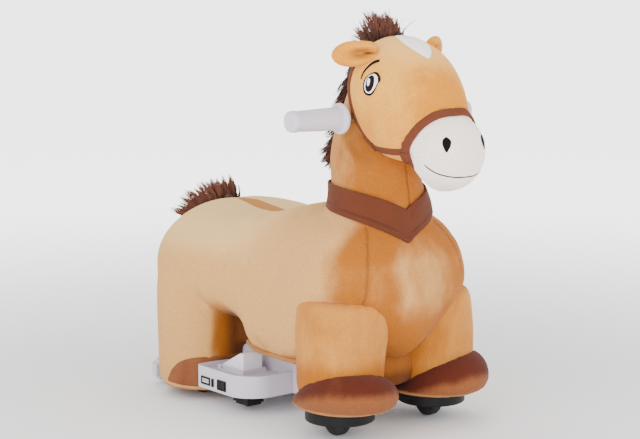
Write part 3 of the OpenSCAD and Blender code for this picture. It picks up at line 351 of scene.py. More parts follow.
def smooth(rows, steps):
    """Rows of a table with more set between each two, on a Catmull-Rom curve through them all."""
    rows = np.asarray(rows, float)
    held = np.vstack([rows[:1], rows, rows[-1:]])
    a, b, c, d = (held[k:len(held) - 3 + k] for k in range(4))
    s = np.linspace(0, 1, steps, endpoint=False)[:, None, None]
    between = (2 * b + (c - a) * s + (2 * a - 5 * b + 4 * c - d) * s ** 2 + (3 * b - a - 3 * c + d) * s ** 3) / 2
    return np.vstack([between.transpose(1, 0, 2).reshape(-1, rows.shape[1]), rows[-1:]])


def around(count):
    """Equal angles once round a ring."""
    return np.linspace(0, 2 * np.pi, count, endpoint=False)


def unit(ways):
    """Directions of length 1."""
    return ways / np.linalg.norm(ways, axis=-1, keepdims=True)


def stacked(*parts):
    """Points from their X, Y and Z, each a number or an array, stretched to one size."""
    return np.stack(np.broadcast_arrays(*parts), -1)


def shell(rings):
    """Closed skin over rings of points: quads between neighbours, and a fan to the middle of each end."""
    count, ring = rings.shape[:2]
    index = np.arange(count * ring).reshape(count, ring)
    beside = np.roll(index, -1, 1)
    quads = np.stack([index[:-1], beside[:-1], beside[1:], index[1:]], -1).reshape(-1, 4)
    ends = [np.stack([np.full(ring, count * ring + k), *pair], -1)
            for k, pair in enumerate([(beside[0], index[0]), (index[-1], beside[-1])])]
    points = np.vstack([rings.reshape(-1, 3), rings[0].mean(0), rings[-1].mean(0)])
    return points, quads.tolist() + np.vstack(ends).tolist()


def make(name, *shells):
    """One piece from one or more skins in millimetres, its faces turned outwards."""
    starts = np.cumsum([0] + [len(points) for points, _ in shells])
    mesh = bpy.data.meshes.new(name)
    mesh.from_pydata((np.vstack([points for points, _ in shells]) * MM).tolist(), [],
                     [[v + s for v in face] for (_, faces), s in zip(shells, starts) for face in faces])
    shape = bmesh.new()
    shape.from_mesh(mesh)
    bmesh.ops.recalc_face_normals(shape, faces=shape.faces)
    shape.to_mesh(mesh)
    shape.free()
    soften(mesh)
    return link(name, mesh)


def dress(piece, finish, *nodes, fill=0):
    """Gives a new piece of the chassis its finish and the CAD pieces that it stands for. Its stuffing, fill, is not
    used.
    """
    piece.data.materials.clear()
    piece.data.materials.append(finish.material)
    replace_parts(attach(piece, "chassis"), *nodes)


sleeve_grey = Finish("grip_sleeve", roughness=0.42)
cloud = sleeve_grey.noise(30, warp=0.6)
sleeve_grey.paint(base_color=sleeve_grey.mix(cloud, tint(194, 187, 199), tint(205, 198, 209)),
                  roughness=0.36 + 0.14 * cloud, normal=sleeve_grey.bump(sleeve_grey.noise(1300), 0.00005))
# Grip outline: place along the bar, radius
GRIP = [(GRIP_IN, 8.2), (GRIP_IN, 19.6), (GRIP_IN + 0.5, 20.7), (GRIP_IN + 1.6, 21), (GRIP_IN + 4, 21),
        (GRIP_IN + 5.2, 20.4), (GRIP_IN + 6, 18.6), (GRIP_IN + 7.5, 16.6), (GRIP_IN + 10, 15.7),
        (GRIP_IN + 40, 15), (GRIP_OUT - 12, 13.7), (GRIP_OUT - 10.6, 14), (GRIP_OUT - 9.6, 14.5),
        (GRIP_OUT - 3.4, 14.4), (GRIP_OUT - 1.6, 13.6), (GRIP_OUT - 0.5, 12), (GRIP_OUT, 9), (GRIP_OUT, 2)]
turn = around(64)
along, radius = np.array(GRIP).T[:, :, None]
for side, sign in SIDES:
    rings = stacked(BAR_X + radius * np.cos(turn), sign * along, BAR_Z + radius * np.sin(turn))
    dress(make(f"{side}_hand_grip", shell(rings)), sleeve_grey, f"{side}_grip")

# Body cover: one stuffed skin of short-pile plush over the seat, chest, neck and rear legs, sewn from
# side, chest and seat panels and drawn down over the frame.
# The pile is pale on the sides and warm in front, with painted shade in the arches, creases, undersides and under the
# jaw, and painted light on the rump's top.
FRONT_X, REAR_X, SIDE_Y = 160, -160, 85
# Body rows: place along X, half width, top, bottom, squareness above, squareness below
BODY = [(-274, 2, 206, 178, 2.2, 2.2), (-266, 56, 240, 144, 2, 2.4), (-246, 98, 264, 118, 1.95, 2.7),
        (-205, 137, 284, 112, 2.05, 2.8), (-160, 148, 287, 112, 2.2, 2.7), (-110, 144, 281, 122, 2.4, 3),
        (-75, 136, 278, 128, 2.6, 4), (-50, 130, 280, 128, 2.6, 4.5), (-34, 128, 283, 124, 2.6, 4.5),
        (-18, 126, 287, 112, 2.6, 5), (-6, 125, 290, 95, 2.6, 6.5), (6, 124, 294, 90, 2.6, 7),
        (60, 125, 305, 88, 2.3, 7), (110, 129, 308, 87, 2.4, 4.5), (160, 126, 306, 92, 2.7, 1.6),
        (203, 105, 284, 110, 2.6, 1.1), (229, 72, 247, 138, 2.3, 1.05), (240, 3, 206, 184, 2.2, 2)]
# Neck rows: height, middle along X, half length, half width
NECK = [(225, 140, 72, 92), (262, 140, 70, 84), (300, 142, 66, 75), (340, 137, 66, 62), (375, 130, 66, 54),
        (410, 134, 60, 53), (440, 142, 49, 54), (475, 150, 46, 47), (500, 152, 32, 36), (512, 152, 2, 2)]
# Lining of the arch, over the side walls of the base, in rows like the body's; it takes the arch's painted shade
LINING = [(-118, 6, 140, 112, 3, 3), (-112, 66, 150, 84, 4, 6), (-60, 71, 150, 80, 4, 6),
          (-28, 68, 146, 82, 4, 6), (-20, 6, 122, 100, 3, 3)]
# Rear leg rows, down the outside and up into the wheel pocket: height, radius
LEG_RADIUS, TRAY_BACK = 69, -98
REAR_LEG = [(198, 54), (188, 65), (160, LEG_RADIUS), (60, LEG_RADIUS), (23, 67), (15, 62), (15, 54), (28, 48),
            (74, 46), (80, 30)]


def body_rings(rows, count):
    """Rounded rectangles square to X: half width and half height times a power of cosine and sine."""
    x, half, top, bottom, above, below = smooth(rows, 6).T[:, :, None]
    turn = around(count)
    power = lambda c: np.sign(c) * np.abs(c) ** (2 / np.where(np.sin(turn) < 0, below, above))
    return stacked(x, half * power(np.cos(turn)), (top + bottom) / 2 + (top - bottom) / 2 * power(np.sin(turn)))


def column_rings(z, x, y, long, wide, count):
    """Ellipses square to Z, one for each height."""
    z, x, y, long, wide = (v[:, None] for v in np.broadcast_arrays(z, x, y, long, wide))
    turn = around(count)
    return stacked(x + long * np.cos(turn), y + wide * np.sin(turn), z)


def knit(piece, pitch, rounds):
    """One even skin over joined forms: voxel remesh at that pitch in millimetres, then rounds of smoothing."""
    net = piece.modifiers.new("net", "REMESH")
    net.mode, net.voxel_size = "VOXEL", pitch * MM
    ease = piece.modifiers.new("ease", "SMOOTH")
    ease.factor, ease.iterations = 0.5, rounds
    return bake(piece)


def triples(items, name):
    """Three numbers from each item of a mesh, one row each."""
    values = np.empty(len(items) * 3, np.float32)
    items.foreach_get(name, values)
    return values.reshape(-1, 3).astype(float)


def points(piece):
    """The piece's points in millimetres."""
    return triples(piece.data.vertices, "co") / MM


def normals(piece):
    """The way out of the piece at each of its points."""
    return triples(piece.data.vertex_normals, "vector")


def move(piece, spots):
    """Puts the piece's points at places in millimetres."""
    piece.data.vertices.foreach_set("co", (spots * MM).astype(np.float32).ravel())
    piece.data.update()


def ramp(value, low, high):
    """0 below low, 1 above high, and a smooth rise between."""
    s = np.clip((value - low) / (high - low), 0, 1)
    return s * s * (3 - 2 * s)


def stuff(piece, sewn, swell, slack):
    """Fills a cover: cloth with spare length under pressure for some frames, held where it is sewn,
    and no point moving further than swell millimetres."""
    frames, before = 20, points(piece)
    piece.vertex_groups.new(name="sewn").add(np.flatnonzero(sewn).tolist(), 1.0, "REPLACE")
    filling = piece.modifiers.new("filling", "CLOTH")
    cloth = filling.settings
    cloth.quality, cloth.mass = 5, 0.3
    cloth.tension_stiffness = cloth.compression_stiffness = 14
    cloth.shear_stiffness, cloth.bending_stiffness = 6, 0.8
    cloth.use_pressure, cloth.uniform_pressure_force = True, 4
    cloth.effector_weights.gravity = 0
    cloth.vertex_group_mass, cloth.shrink_min = "sewn", -slack
    filling.collision_settings.use_collision = False
    filling.point_cache.frame_start, filling.point_cache.frame_end = 1, frames
    for count in range(1, frames + 1):
        bpy.context.scene.frame_set(count)
    blown = piece.evaluated_get(bpy.context.evaluated_depsgraph_get()).to_mesh()
    step = triples(blown.vertices, "co") / MM - before
    length = np.linalg.norm(step, axis=1, keepdims=True)
    piece.modifiers.clear()
    piece.vertex_groups.clear()
    bpy.context.scene.frame_set(1)
    move(piece, before + step * np.minimum(1, swell / np.maximum(length, 1e-6)))


def refine(piece):
    """Halves the net once and shades it smooth. Gives its points and the ways out at them."""
    fine = piece.modifiers.new("fine", "SUBSURF")
    fine.levels = fine.render_levels = 1
    soften(bake(piece).data)
    return points(piece), normals(piece)


def groove(spots, out, distance, depth, width):
    """Sinks points along their normals near a seam: depth times a bell curve of the distance."""
    return spots - out * (depth * np.exp(-(distance / width) ** 2))[:, None]


def mark(piece, name, values):
    """Keeps a value at each point, or one for all, for the finish to read."""
    values = np.full(len(piece.data.vertices), values, np.float32)
    piece.data.attributes.new(name, "FLOAT", "POINT").data.foreach_set("value", values)


def plush(name, pale, deep, pile=1.0):
    """Short-pile plush: its nap lies in cloudy patches between a pale and a deep tone, steered by the piece's own
    mark, which on some pieces also carries painted shade, with fine tufts in colour and relief."""
    cloth = Finish(name, roughness=0.92, specular_ior_level=0.2, sheen_weight=0.06, sheen_roughness=0.5)
    clouds = cloth.noise(19, detail=4, stretch=(1, 1, 0.6), warp=0.7)
    streaks = cloth.noise(46, detail=3, stretch=(1, 1, 0.35), warp=0.4)
    tufts = cloth.noise(520, detail=2)
    nap = cloth.mark("warm") + (clouds - 0.5) * 0.95 + (streaks - 0.5) * 0.5
    tone = cloth.mix(cloth.step(nap, 0.0, 1.0), pale, deep)
    tone = cloth.mix(cloth.mark("seam") * 0.6, tone, tint(92, 52, 22))
    shade = cloth.mix(cloth.step(tufts, 0.25, 0.75), (0.86, 0.86, 0.86, 1), (1.08, 1.08, 1.08, 1))
    tone = cloth.node("ShaderNodeMix", {"data_type": "RGBA", "blend_type": "MULTIPLY"},
                      {0: 1, 6: tone, 7: shade}, 2)
    relief = tufts * 0.6 + cloth.noise(150, detail=2) * 0.4
    return cloth.paint(base_color=tone, normal=cloth.bump(relief, 0.0009 * pile)), tone


# Distance of points that have no seam near them
FAR = 99


def seat_edge(spots):
    """Distance in millimetres outside the leaf-shaped seat panel on the back."""
    x, y, z = spots.T
    back, front, half_width = -192, -40, 16
    leaf = half_width * np.sin(np.pi * np.clip((x - back) / (front - back), 0, 1)) ** 0.8
    return np.where(z > 240, np.abs(y) - leaf + 60 * ((x < back) | (x > front)), FAR)


def shoulder_seam(spots):
    """Distance from the seam down each side of the chest, from the collar to the front leg."""
    x, y, z = spots.T
    line = np.interp(z, (196, 223, 249, 270, 285), (90, 86, 80, 72, 62))
    return np.where((x > 170) & (z > 190) & (z < 290), np.abs(np.abs(y) - line) * 0.8, FAR)


def throat_seam(spots):
    """Distance from the seam down the middle of the throat."""
    x, y, z = spots.T
    return np.where((x > 150) & (z > 300) & (z < 420), np.abs(y), FAR)


def thigh_crease(spots):
    """Distance from the fold between each thigh and the belly."""
    x, y, z = spots.T
    fold = np.interp(z, (131, 154, 182, 205), (-100, -102, -98, -106))
    past = 2 * np.maximum(0, np.maximum(z - 200, 150 - z)) + 2 * np.maximum(0, 112 - np.abs(y))
    return np.hypot(x - fold, past)


z, x, long, wide = smooth(NECK, 5).T
leg_z, leg_r = smooth(REAR_LEG, 3).T
body = make("body_cover", shell(body_rings(BODY, 72)), shell(column_rings(z, x, 0, long, wide, 56)),
            shell(body_rings(LINING, 48)),
            *(shell(column_rings(leg_z, REAR_X, s * SIDE_Y, leg_r, leg_r, 48)) for s in (-1, 1)))
knit(body, 5.2, 8)
spots = points(body)
x, y, z = spots.T
lower_edge = (z < 24) | ((z < 104) & (np.abs(y) < 64)) | ((z < 101) & (x > -70))
under_collar = (z > 262) & (z < 350) & (x > 70)
seams = (np.abs(seat_edge(spots)) < 3.5) | (shoulder_seam(spots) < 2.6) | (throat_seam(spots) < 2.6)
stuff(body, lower_edge | under_collar | (z > 455) | seams, 4, 0.012)
spots, out = refine(body)
spots = groove(spots, out, seat_edge(spots), 2.2, 3)
spots = groove(spots, out, shoulder_seam(spots), 1.6, 2.5)
spots = groove(spots, out, throat_seam(spots), 1.8, 2.5)
spots = groove(spots, out, thigh_crease(spots), 2.5, 8)
x, y, z = spots.T
# The rear legs lie flat against the backs of the trays
spots[(z < 66) & (x > TRAY_BACK - 2) & (x < -60) & (np.abs(y) < 147), 0] = TRAY_BACK
move(body, spots)
x, y, z = spots.T
nx, _, nz = normals(body).T
chest = ramp(x, 140, 208) * (0.62 + 0.5 * ramp(np.abs(y), 25, 65))
chest += 0.6 * ramp(-z, -190, -150) * ramp(x, 150, 190) + 0.4 * ramp(z, 238, 268) * ramp(x, 165, 200)
neck_front = ramp(z, 296, 330) * (0.8 + 0.5 * ramp(nx, -0.2, 0.6))
# Inside of the arch: how far round the rear leg, towards the belly, in leg radii
deep = (0.63 * (x - REAR_X) - 0.776 * (np.abs(y) - SIDE_Y)) / LEG_RADIUS
within = ramp(-np.abs(y), -126, -112) * ramp(-x, 14, 24) * ramp(-z, -172, -140)
# Painted shade: the nap deepens round the inside of each rear leg towards the belly.
arch_shade = (0.5 * ramp(deep, -0.45, 0.15) + 0.55 * ramp(deep, 0, 0.4)) * within
# Painted shade: a deeper tone along the fold between each thigh and the belly.
fold = 0.4 * np.exp(-(thigh_crease(spots) / 14) ** 2)
# Painted shade: a deeper tone on faces that look down.
underside_shade = 0.9 * ramp(-nz, 0.2, 0.8)
mark(body, "warm", np.clip(np.maximum.reduce([chest, neck_front, arch_shade, fold, underside_shade]), 0, 1.5) - 0.25)
mark(body, "seam", np.exp(-(np.minimum(shoulder_seam(spots), throat_seam(spots)) / 1.2) ** 2))
# Painted light: the top of the rump is paler, where light falls from above.
mark(body, "light", ramp(nz, 0.15, 0.85) * ramp(-x, -60, 60))
# Painted shade: dark brown deep inside each arch, and under the jaw on the front of the neck.
depth = (0.26 * ramp(deep, 0.05, 0.4) + 0.66 * ramp(deep, 0.4, 0.74)) * within
mark(body, "shade", np.maximum(depth, 0.35 * ramp(z, 358, 392) * ramp(nx, -0.3, 0.4)))
mark(body, "seat", seat_edge(spots))
hide, tone = plush("body_plush", tint(210, 157, 92), tint(164, 94, 20))
# A painted highlight on top, then painted shade in the arches and under the jaw.
tone = hide.mix(hide.mark("light") * 0.75, tone, tint(231, 192, 128))
tone = hide.mix(hide.mark("shade") * 0.85, tone, tint(60, 26, 14))
hide.paint(base_color=hide.mix(hide.step(hide.mark("seat"), -1.0, 1.0), tint(174, 116, 50), tone))
dress(body, hide, "body", "neck", "left_rear_leg", "right_rear_leg", fill=0.8)

# Front legs: two short stuffed tubes of the same plush, sewn to the body with an arched seam.
# They lean in towards the chest, and the left one is painted in a deeper tone on its inner side, a painted shade under
# the chest.
# Rows: height, shift along X, half length, half width, shift outwards
FRONT_LEG = [(50, 0, 56, 56, 0), (70, 0, 58, 57, 0), (120, -2, 61, 60, -3), (160, -5, 67, 64, -11),
             (179, -8, 69, 65, -15), (190, -9, 63, 58, -17), (195, -9, 40, 36, -18)]
z, shift, long, wide, outward = smooth(FRONT_LEG, 5).T
leg_hide, _ = plush("leg_plush", tint(209, 144, 64), tint(172, 98, 14))
for side, sign in SIDES:
    leg = make(f"{side}_front_leg_cover",
               shell(column_rings(z, FRONT_X + shift, sign * (SIDE_Y + outward), long, wide, 48)))
    knit(leg, 4.6, 3)
    height = points(leg)[:, 2]
    stuff(leg, (height < 66) | (height > 191), 4, 0.03)
    spots, out = refine(leg)
    low = ramp(-spots[:, 2], -125, -80)
    # Painted shade on the left leg's inner side; the right leg deepens towards the bottom.
    mark(leg, "warm", 0.42 + 0.7 * low if sign < 0 else 0.62 - 0.6 * ramp(out[:, 1], 0.2, 0.8))
    dress(leg, leg_hide, f"{side}_front_leg", fill=0.75)

# Gusset: tan plush drawn over the nose of the base between the front legs. It is sewn to both legs and to the belly
# and lies in their shade, so it is painted dark brown, deeper towards the bottom.
GUSSET = [(60, 3, 100, 84, 2, 2), (64, 30, 108, 66, 3, 3), (80, 42, 112, 59, 3, 3), (160, 42, 112, 59, 3, 3),
          (178, 38, 108, 62, 3, 3), (185, 3, 98, 84, 2, 2)]
gusset_shaded_hide, _ = plush("gusset_plush", tint(146, 84, 26), tint(104, 54, 16))
gusset = make("nose_gusset", shell(body_rings(GUSSET, 40)))
knit(gusset, 4, 2)
spots, _ = refine(gusset)
mark(gusset, "warm", ramp(-spots[:, 2], -92, -66))
dress(gusset, gusset_shaded_hide, fill=0.6)

# Hooves: puffy brown plush cushions sewn round the foot of each front leg, higher in front,
# and drawn in over the edge of the black sole plate.
SOLE_TOP, HEM = 40, 9
# Hoof rows: share of the height, middle along X, half length, half width
HOOF = [(0, 4, 52, 48), (0.1, 7, 69, 60), (0.3, 9, 79, 65), (0.55, 9, 80, 66), (0.82, 8, 73, 62), (1, 3, 60, 57)]
share, shift, long, wide = smooth(HOOF, 6).T[:, :, None]
hoof_hide, tone = plush("hoof_plush", tint(136, 80, 44), tint(82, 32, 16))
# A painted highlight: a lighter tan band along the hoof's lower edge.
hoof_hide.paint(base_color=hoof_hide.mix(hoof_hide.mark("hem"), tone, tint(176, 116, 62)))
turn = around(72)
swing = (np.degrees(turn) + 23 + 180) % 360 - 180
seam = 100 - 42 * np.minimum(1, (swing / 112) ** 2)
for side, sign in SIDES:
    rings = stacked(FRONT_X + shift + long * np.cos(turn), -sign * (-SIDE_Y + wide * np.sin(turn)),
                    SOLE_TOP + share * (seam - SOLE_TOP))
    hoof = make(f"{side}_front_hoof_cover", shell(rings))
    knit(hoof, 4.2, 3)
    stuff(hoof, points(hoof)[:, 2] < SOLE_TOP + 4, 4, 0.03)
    spots, out = refine(hoof)
    angle = np.arctan2(-sign * spots[:, 1] + SIDE_Y, spots[:, 0] - FRONT_X)
    below = np.interp(angle, np.sort((turn + np.pi) % (2 * np.pi) - np.pi), np.roll(seam, 36)) - spots[:, 2]
    spots = groove(spots, out, spots[:, 2] - SOLE_TOP - HEM, 1.1, 1.6)
    move(hoof, spots)
    # Painted shade: a deeper tone along the top in front, under the leg, and a little more on the left hoof.
    mark(hoof, "warm", 1.25 * ramp(-below, -40, -12) * ramp(spots[:, 0], 95, 150) + 0.15 * sign - 0.1)
    # Painted highlight along the lower edge, below the hem's seam.
    mark(hoof, "hem", ramp(-spots[:, 2], -SOLE_TOP - HEM, -SOLE_TOP - HEM + 2))
    dress(hoof, hoof_hide, f"{side}_front_hoof", fill=0.7)

# Head: a stuffed plush egg, tilted nose down, with a white blaze sewn in below the forelock.
# Its underside is drawn up to a nearly level jaw.
HEAD_AT, HEAD_TILT = np.array((196, 0, 466)), np.radians(42)
# Head rows along the tilted axis: place, offset, half height, half width
HEAD = [(-84, -3, 2, 2), (-77, -3, 33, 32), (-57, -3, 57, 56), (-28, -3, 71, 70), (5, -3, 76, 74),
        (40, -4, 71, 70), (72, -7, 60, 62), (96, -9, 49, 54), (112, -10, 35, 40), (120, -10, 3, 3)]
BLAZE_X = 207


def axis_rings(start, tilt, rows, count):
    """Ellipses square to an axis that points forward and tilts down."""
    along, offset, tall, wide = smooth(rows, 6).T[:, :, None]
    ahead, up = np.array((np.cos(tilt), 0, -np.sin(tilt))), np.array((np.sin(tilt), 0, np.cos(tilt)))
    turn = around(count)
    return start + along[..., None] * ahead + (offset + tall * np.sin(turn))[..., None] * up \
        + (wide * np.cos(turn))[..., None] * np.array((0, 1, 0))


def jaw(spots, weight=1.0):
    """Lifts the underside of the head to a nearly level jaw: a soft corner at the jaw's height."""
    x, y, z = spots.T
    height = 383 - 0.15 * np.maximum(0, x - 235)
    level = height + 4 * np.logaddexp(0, (z - height) / 4)
    return np.stack([x, y, z + weight * (0.85 * level + 0.15 * z - z)], -1)


head = make("head_cover", shell(axis_rings(HEAD_AT, HEAD_TILT, HEAD, 64)))
knit(head, 4.4, 3)
spots = jaw(points(head))
move(head, spots)
stuff(head, (spots[:, 0] > 268) | (np.abs(spots[:, 1]) < 2.6) & (spots[:, 2] < 430), 4, 0.008)
spots, out = refine(head)
x, y, z = spots.T
length = np.where(x < BLAZE_X, 45, 41.5)
leaf = 20.5 * np.clip(1 - ((x - BLAZE_X) / length) ** 2, 0, 1) ** 0.75
blaze = np.where((z > 490) & (x > 162), np.abs(y - 2 + 0.2 * (x - BLAZE_X)) - leaf + 9 * (leaf == 0), 40)
spots = groove(spots, out, blaze, 1.2, 2)
move(head, spots)
# Painted light: the top of the head is paler and lighter where light falls from above; the front and the lower face
# take a deeper tone.
mark(head, "warm", 0.05 + 0.55 * ramp(-z, -485, -400) + 0.7 * ramp(out[:, 0], 0.4, 0.9)
     - 0.4 * ramp(out[:, 2], 0.4, 0.9))
mark(head, "blaze", blaze)
mark(head, "light", ramp(out[:, 2], 0.5, 0.9))
face, tone = plush("face_plush", tint(227, 160, 63), tint(205, 128, 16))
tone = face.mix(face.mark("light") * 0.7, tone, tint(236, 182, 104))
face.paint(base_color=face.mix(face.step(face.mark("blaze"), -0.6, 0.6), tint(252, 246, 236), tone))
dress(head, face, "head", fill=0.85)

# Muzzle: a round white plush ball sewn to the head behind the noseband.
# Behind that seam its skin dives under the face.
MUZZLE_AT = np.array((271, 0, 393))
# Muzzle rows along X: place, offset, half height, half width
MUZZLE = [(-46, 0, 2, 2), (-40, 0, 28, 28), (-22, 1, 46, 48), (0, 1, 52, 54), (22, 2, 49, 51),
          (37, 2, 38, 40), (45, 2, 23, 24), (49, 2, 2, 2)]
# Line of the noseband seen from the side: height, place along X
MUZZLE_SEAM = [(355, 272), (363, 270), (371, 266), (380, 261), (389, 257), (399, 256), (410, 259), (421, 265),
               (434, 272), (446, 281), (452, 289)]


def ahead_of_seam(spots):
    """Distance of points in front of the noseband's line."""
    return spots[:, 0] - np.interp(spots[:, 2], *np.array(MUZZLE_SEAM).T) - 2.5


front = axis_rings(HEAD_AT, HEAD_TILT, [(s, o, t * 1.03, w * 1.03) for s, o, t, w in HEAD[5:]], 56)
muzzle = make("muzzle_cover", shell(axis_rings(MUZZLE_AT, 0, MUZZLE, 56)), shell(front))
knit(muzzle, 4, 8)
stuff(muzzle, ahead_of_seam(points(muzzle)) < 0, 3, 0.004)
spots, out = refine(muzzle)
spots = spots - out * (9 * ramp(-ahead_of_seam(spots), -1, 6))[:, None]
spots = jaw(spots, ramp(-ahead_of_seam(spots), 0, 8))
x, y, z = spots.T
cheek_line = np.where((x > 290) & (z > 372) & (z < 398), np.abs(np.abs(y) - 29), FAR)
spots = groove(spots, out, cheek_line, 0.7, 2)
move(muzzle, spots)
mark(muzzle, "warm", 0.3 * ramp(-z, -370, -350) - 0.1)
nose_hide, _ = plush("muzzle_plush", tint(253, 238, 226), tint(244, 214, 196), 0.7)
dress(muzzle, nose_hide, "muzzle", fill=0.9)

# Ears: stuffed leaf shapes of the same plush, sewn to the sides of the crown, with a hollow front.
# They hang out and back, the left one a little higher.
# Ear rows: share of the length, half width, half thickness
EAR = [(0, 11, 8), (0.15, 14.5, 9), (0.4, 17, 9), (0.65, 17, 8.5), (0.85, 13, 7), (0.96, 7, 5), (1, 2, 2)]
EAR_BASE, EAR_TIP = np.array((193, -50, 525)), np.array((158, -99, 519))
share, wide, thick = smooth(EAR, 6).T[:, :, None]
ear_hide, tone = plush("ear_plush", tint(218, 142, 34), tint(192, 116, 20))
# Painted shade darkens the hollow front.
ear_hide.paint(base_color=ear_hide.mix(ear_hide.mark("hollow_shade"), tone, tint(66, 36, 20)))
turn = around(48)
way = EAR_TIP - EAR_BASE
lean = unit(way)
face_way = -unit(np.cross(lean, (0.1, -0.1, 1)))
across = np.cross(face_way, lean)
dip = np.exp(-((share - 0.36) / 0.32) ** 2) * np.exp(-(np.cos(turn) / 0.42) ** 2) * (np.sin(turn) > 0)
rings = EAR_BASE + share[..., None] * way + (wide * np.cos(turn))[..., None] * across \
    + (thick * np.sin(turn) * (1 - 1.25 * dip))[..., None] * face_way
for side, sign in SIDES:
    lift = np.array((0, 4, 3)) * (sign > 0)
    ear = make(f"{side}_ear_cover", shell((rings + lift) * (1, -sign, 1)))
    from_base = refine(ear)[0] * (1, -sign, 1) - lift - EAR_BASE
    along, aside = from_base @ lean / np.linalg.norm(way), from_base @ across
    # Painted shade in the hollow: darkest in the fold at its base, and across its middle.
    crease_shade = np.exp(-((along - 0.2) / 0.2) ** 2 - ((aside - 1) / 2.6) ** 2)
    shade = 0.6 * np.exp(-((along - 0.35) / 0.25) ** 2) * ramp(-np.abs(aside), -11, -2)
    mark(ear, "hollow_shade", np.maximum(crease_shade, shade) * ramp(from_base @ face_way, -4, 0))
    mark(ear, "warm", 0.4 * ramp(along, 0.3, 0.9))
    dress(ear, ear_hide, f"{side}_ear", fill=0.5)

# Eyes and brows: satin stitch through the face in four threads, laid one over the other.
# Each layer is a flat outline, pressed onto the head from the side.


def thread(name, colour, dark):
    """Satin stitch: fine threads of one colour."""
    return grained(name, 900, dark, colour, relief=0.0002, detail=1, roughness=0.7, specular_ior_level=0.1)


def press(piece, onto, lift, thick, axis="", ease=0):
    """Lays a patch on a stuffed piece, that many millimetres proud, eases it and gives it thickness."""
    wrap = piece.modifiers.new("wrap", "SHRINKWRAP")
    wrap.target, wrap.offset, wrap.wrap_mode = onto, lift * MM, "ABOVE_SURFACE"
    if axis:
        wrap.wrap_method, wrap.use_negative_direction = "PROJECT", True
        if axis in "xyz":
            setattr(wrap, "use_project_" + axis, True)
    if ease:
        calm = piece.modifiers.new("calm", "SMOOTH")
        calm.factor, calm.iterations = 0.5, ease
    wall = piece.modifiers.new("wall", "SOLIDIFY")
    wall.thickness, wall.offset = thick * MM, -1
    soften(bake(piece).data)
    return piece


def flat(name, grid, closed=False):
    """A patch over a grid of points in millimetres, faces towards the side the grid was drawn for."""
    index = np.arange(grid[..., 0].size).reshape(grid.shape[:2])
    index = np.vstack([index, index[:1]]) if closed else index
    quads = np.stack([index[:-1, :-1], index[:-1, 1:], index[1:, 1:], index[1:, :-1]], -1).reshape(-1, 4)
    mesh = bpy.data.meshes.new(name)
    mesh.from_pydata((grid.reshape(-1, 3) * MM).tolist(), [], quads.tolist())
    return link(name, mesh)


def disc(outline, place, sign):
    """A patch that fills an outline in the X and Z plane, from rings that shrink to a dot at its middle."""
    line = smooth(np.vstack([outline, outline[:1]]), 6)[:-1]
    middle = line.mean(0)
    rings = middle + np.linspace(1, 0.02, 9)[:, None, None] * (line - middle)
    grid = stacked(rings[..., 0], sign * place, rings[..., 1])
    return np.concatenate([grid, grid[:, :1]], 1)[:, ::-sign]


eye_black = thread("eye_black", tint(24, 14, 10), tint(12, 7, 6))
eye_white = thread("eye_white", tint(252, 250, 250), tint(232, 230, 230))
eye_brown = thread("eye_brown", tint(34, 18, 18), tint(16, 8, 9))
brow_brown = thread("brow_brown", tint(34, 17, 11), tint(20, 10, 7))
# Outlines in the X and Z plane, clockwise from behind
EYE_RIM = [(193.2, 479), (192.8, 485), (194.2, 490), (198, 494), (203, 497), (208, 498.5), (213, 497), (217, 493),
           (219, 489.5), (219, 487), (217.5, 486), (216, 481.5), (215, 477.5), (212.4, 472), (208.7, 468.8),
           (205, 468), (199.6, 469.2), (195.4, 473)]
EYE_WHITE = [(195.6, 479.5), (195.5, 484.5), (196.6, 489), (199.3, 492.8), (203, 495), (207.5, 496), (211.5, 494.5),
             (214.5, 491.5), (216, 488), (216.5, 486), (215.3, 482), (214, 478), (211, 473.5), (208.3, 471.2),
             (205, 470.8), (201, 471.9), (197.8, 474.8)]
IRIS = [(198, 479), (198, 484.5), (199, 489.5), (201.5, 492.5), (205, 494), (208.5, 492.5), (210.5, 488.5),
        (211.5, 483), (210.5, 477.5), (208, 474), (204.5, 472.5), (200.5, 474.5)]
GLINT = [(200.5, 483.5), (200.3, 487), (201, 489.7), (202.8, 489.5), (204.4, 487), (204.6, 483.5), (203.4, 480.4),
         (201.7, 480.6)]
# Layers of an eye: name, outline, thread, height above the face
LAYERS = [("rim", EYE_RIM, eye_black, 0.5), ("white", EYE_WHITE, eye_white, 0.8), ("iris", IRIS, eye_brown, 1.1),
          ("glint", GLINT, eye_white, 1.4)]
# Brow rows: place along X, height, half width
BROW = [(186, 488.5, 0.5), (186.5, 494, 0.8), (188, 498.5, 1), (191.5, 503.5, 1.3), (195.5, 508, 1.6),
        (200.5, 511.3, 1.8), (206, 513, 1.4)]
# Where patches start before they are pressed on: beside the head, in front of the muzzle
BESIDE, BEFORE = 95, 340
for side, sign in SIDES:
    for layer, outline, finish, lift in LAYERS:
        patch = flat(f"{side}_eye_{layer}", disc(outline, BESIDE, sign))
        dress(press(patch, head, lift, 0.9, "y"), finish)
    rows = smooth(BROW, 6)
    run = unit(np.gradient(rows[:, :2], axis=0))
    width = np.linspace(-1, 1, 5) * rows[:, 2:]
    grid = stacked(rows[:, :1] + run[:, 1:] * width, sign * BESIDE, rows[:, 1:2] - run[:, :1] * width)
    dress(press(flat(f"{side}_brow", grid[:, ::sign]), head, 0.6, 0.8, "y"), brow_brown)

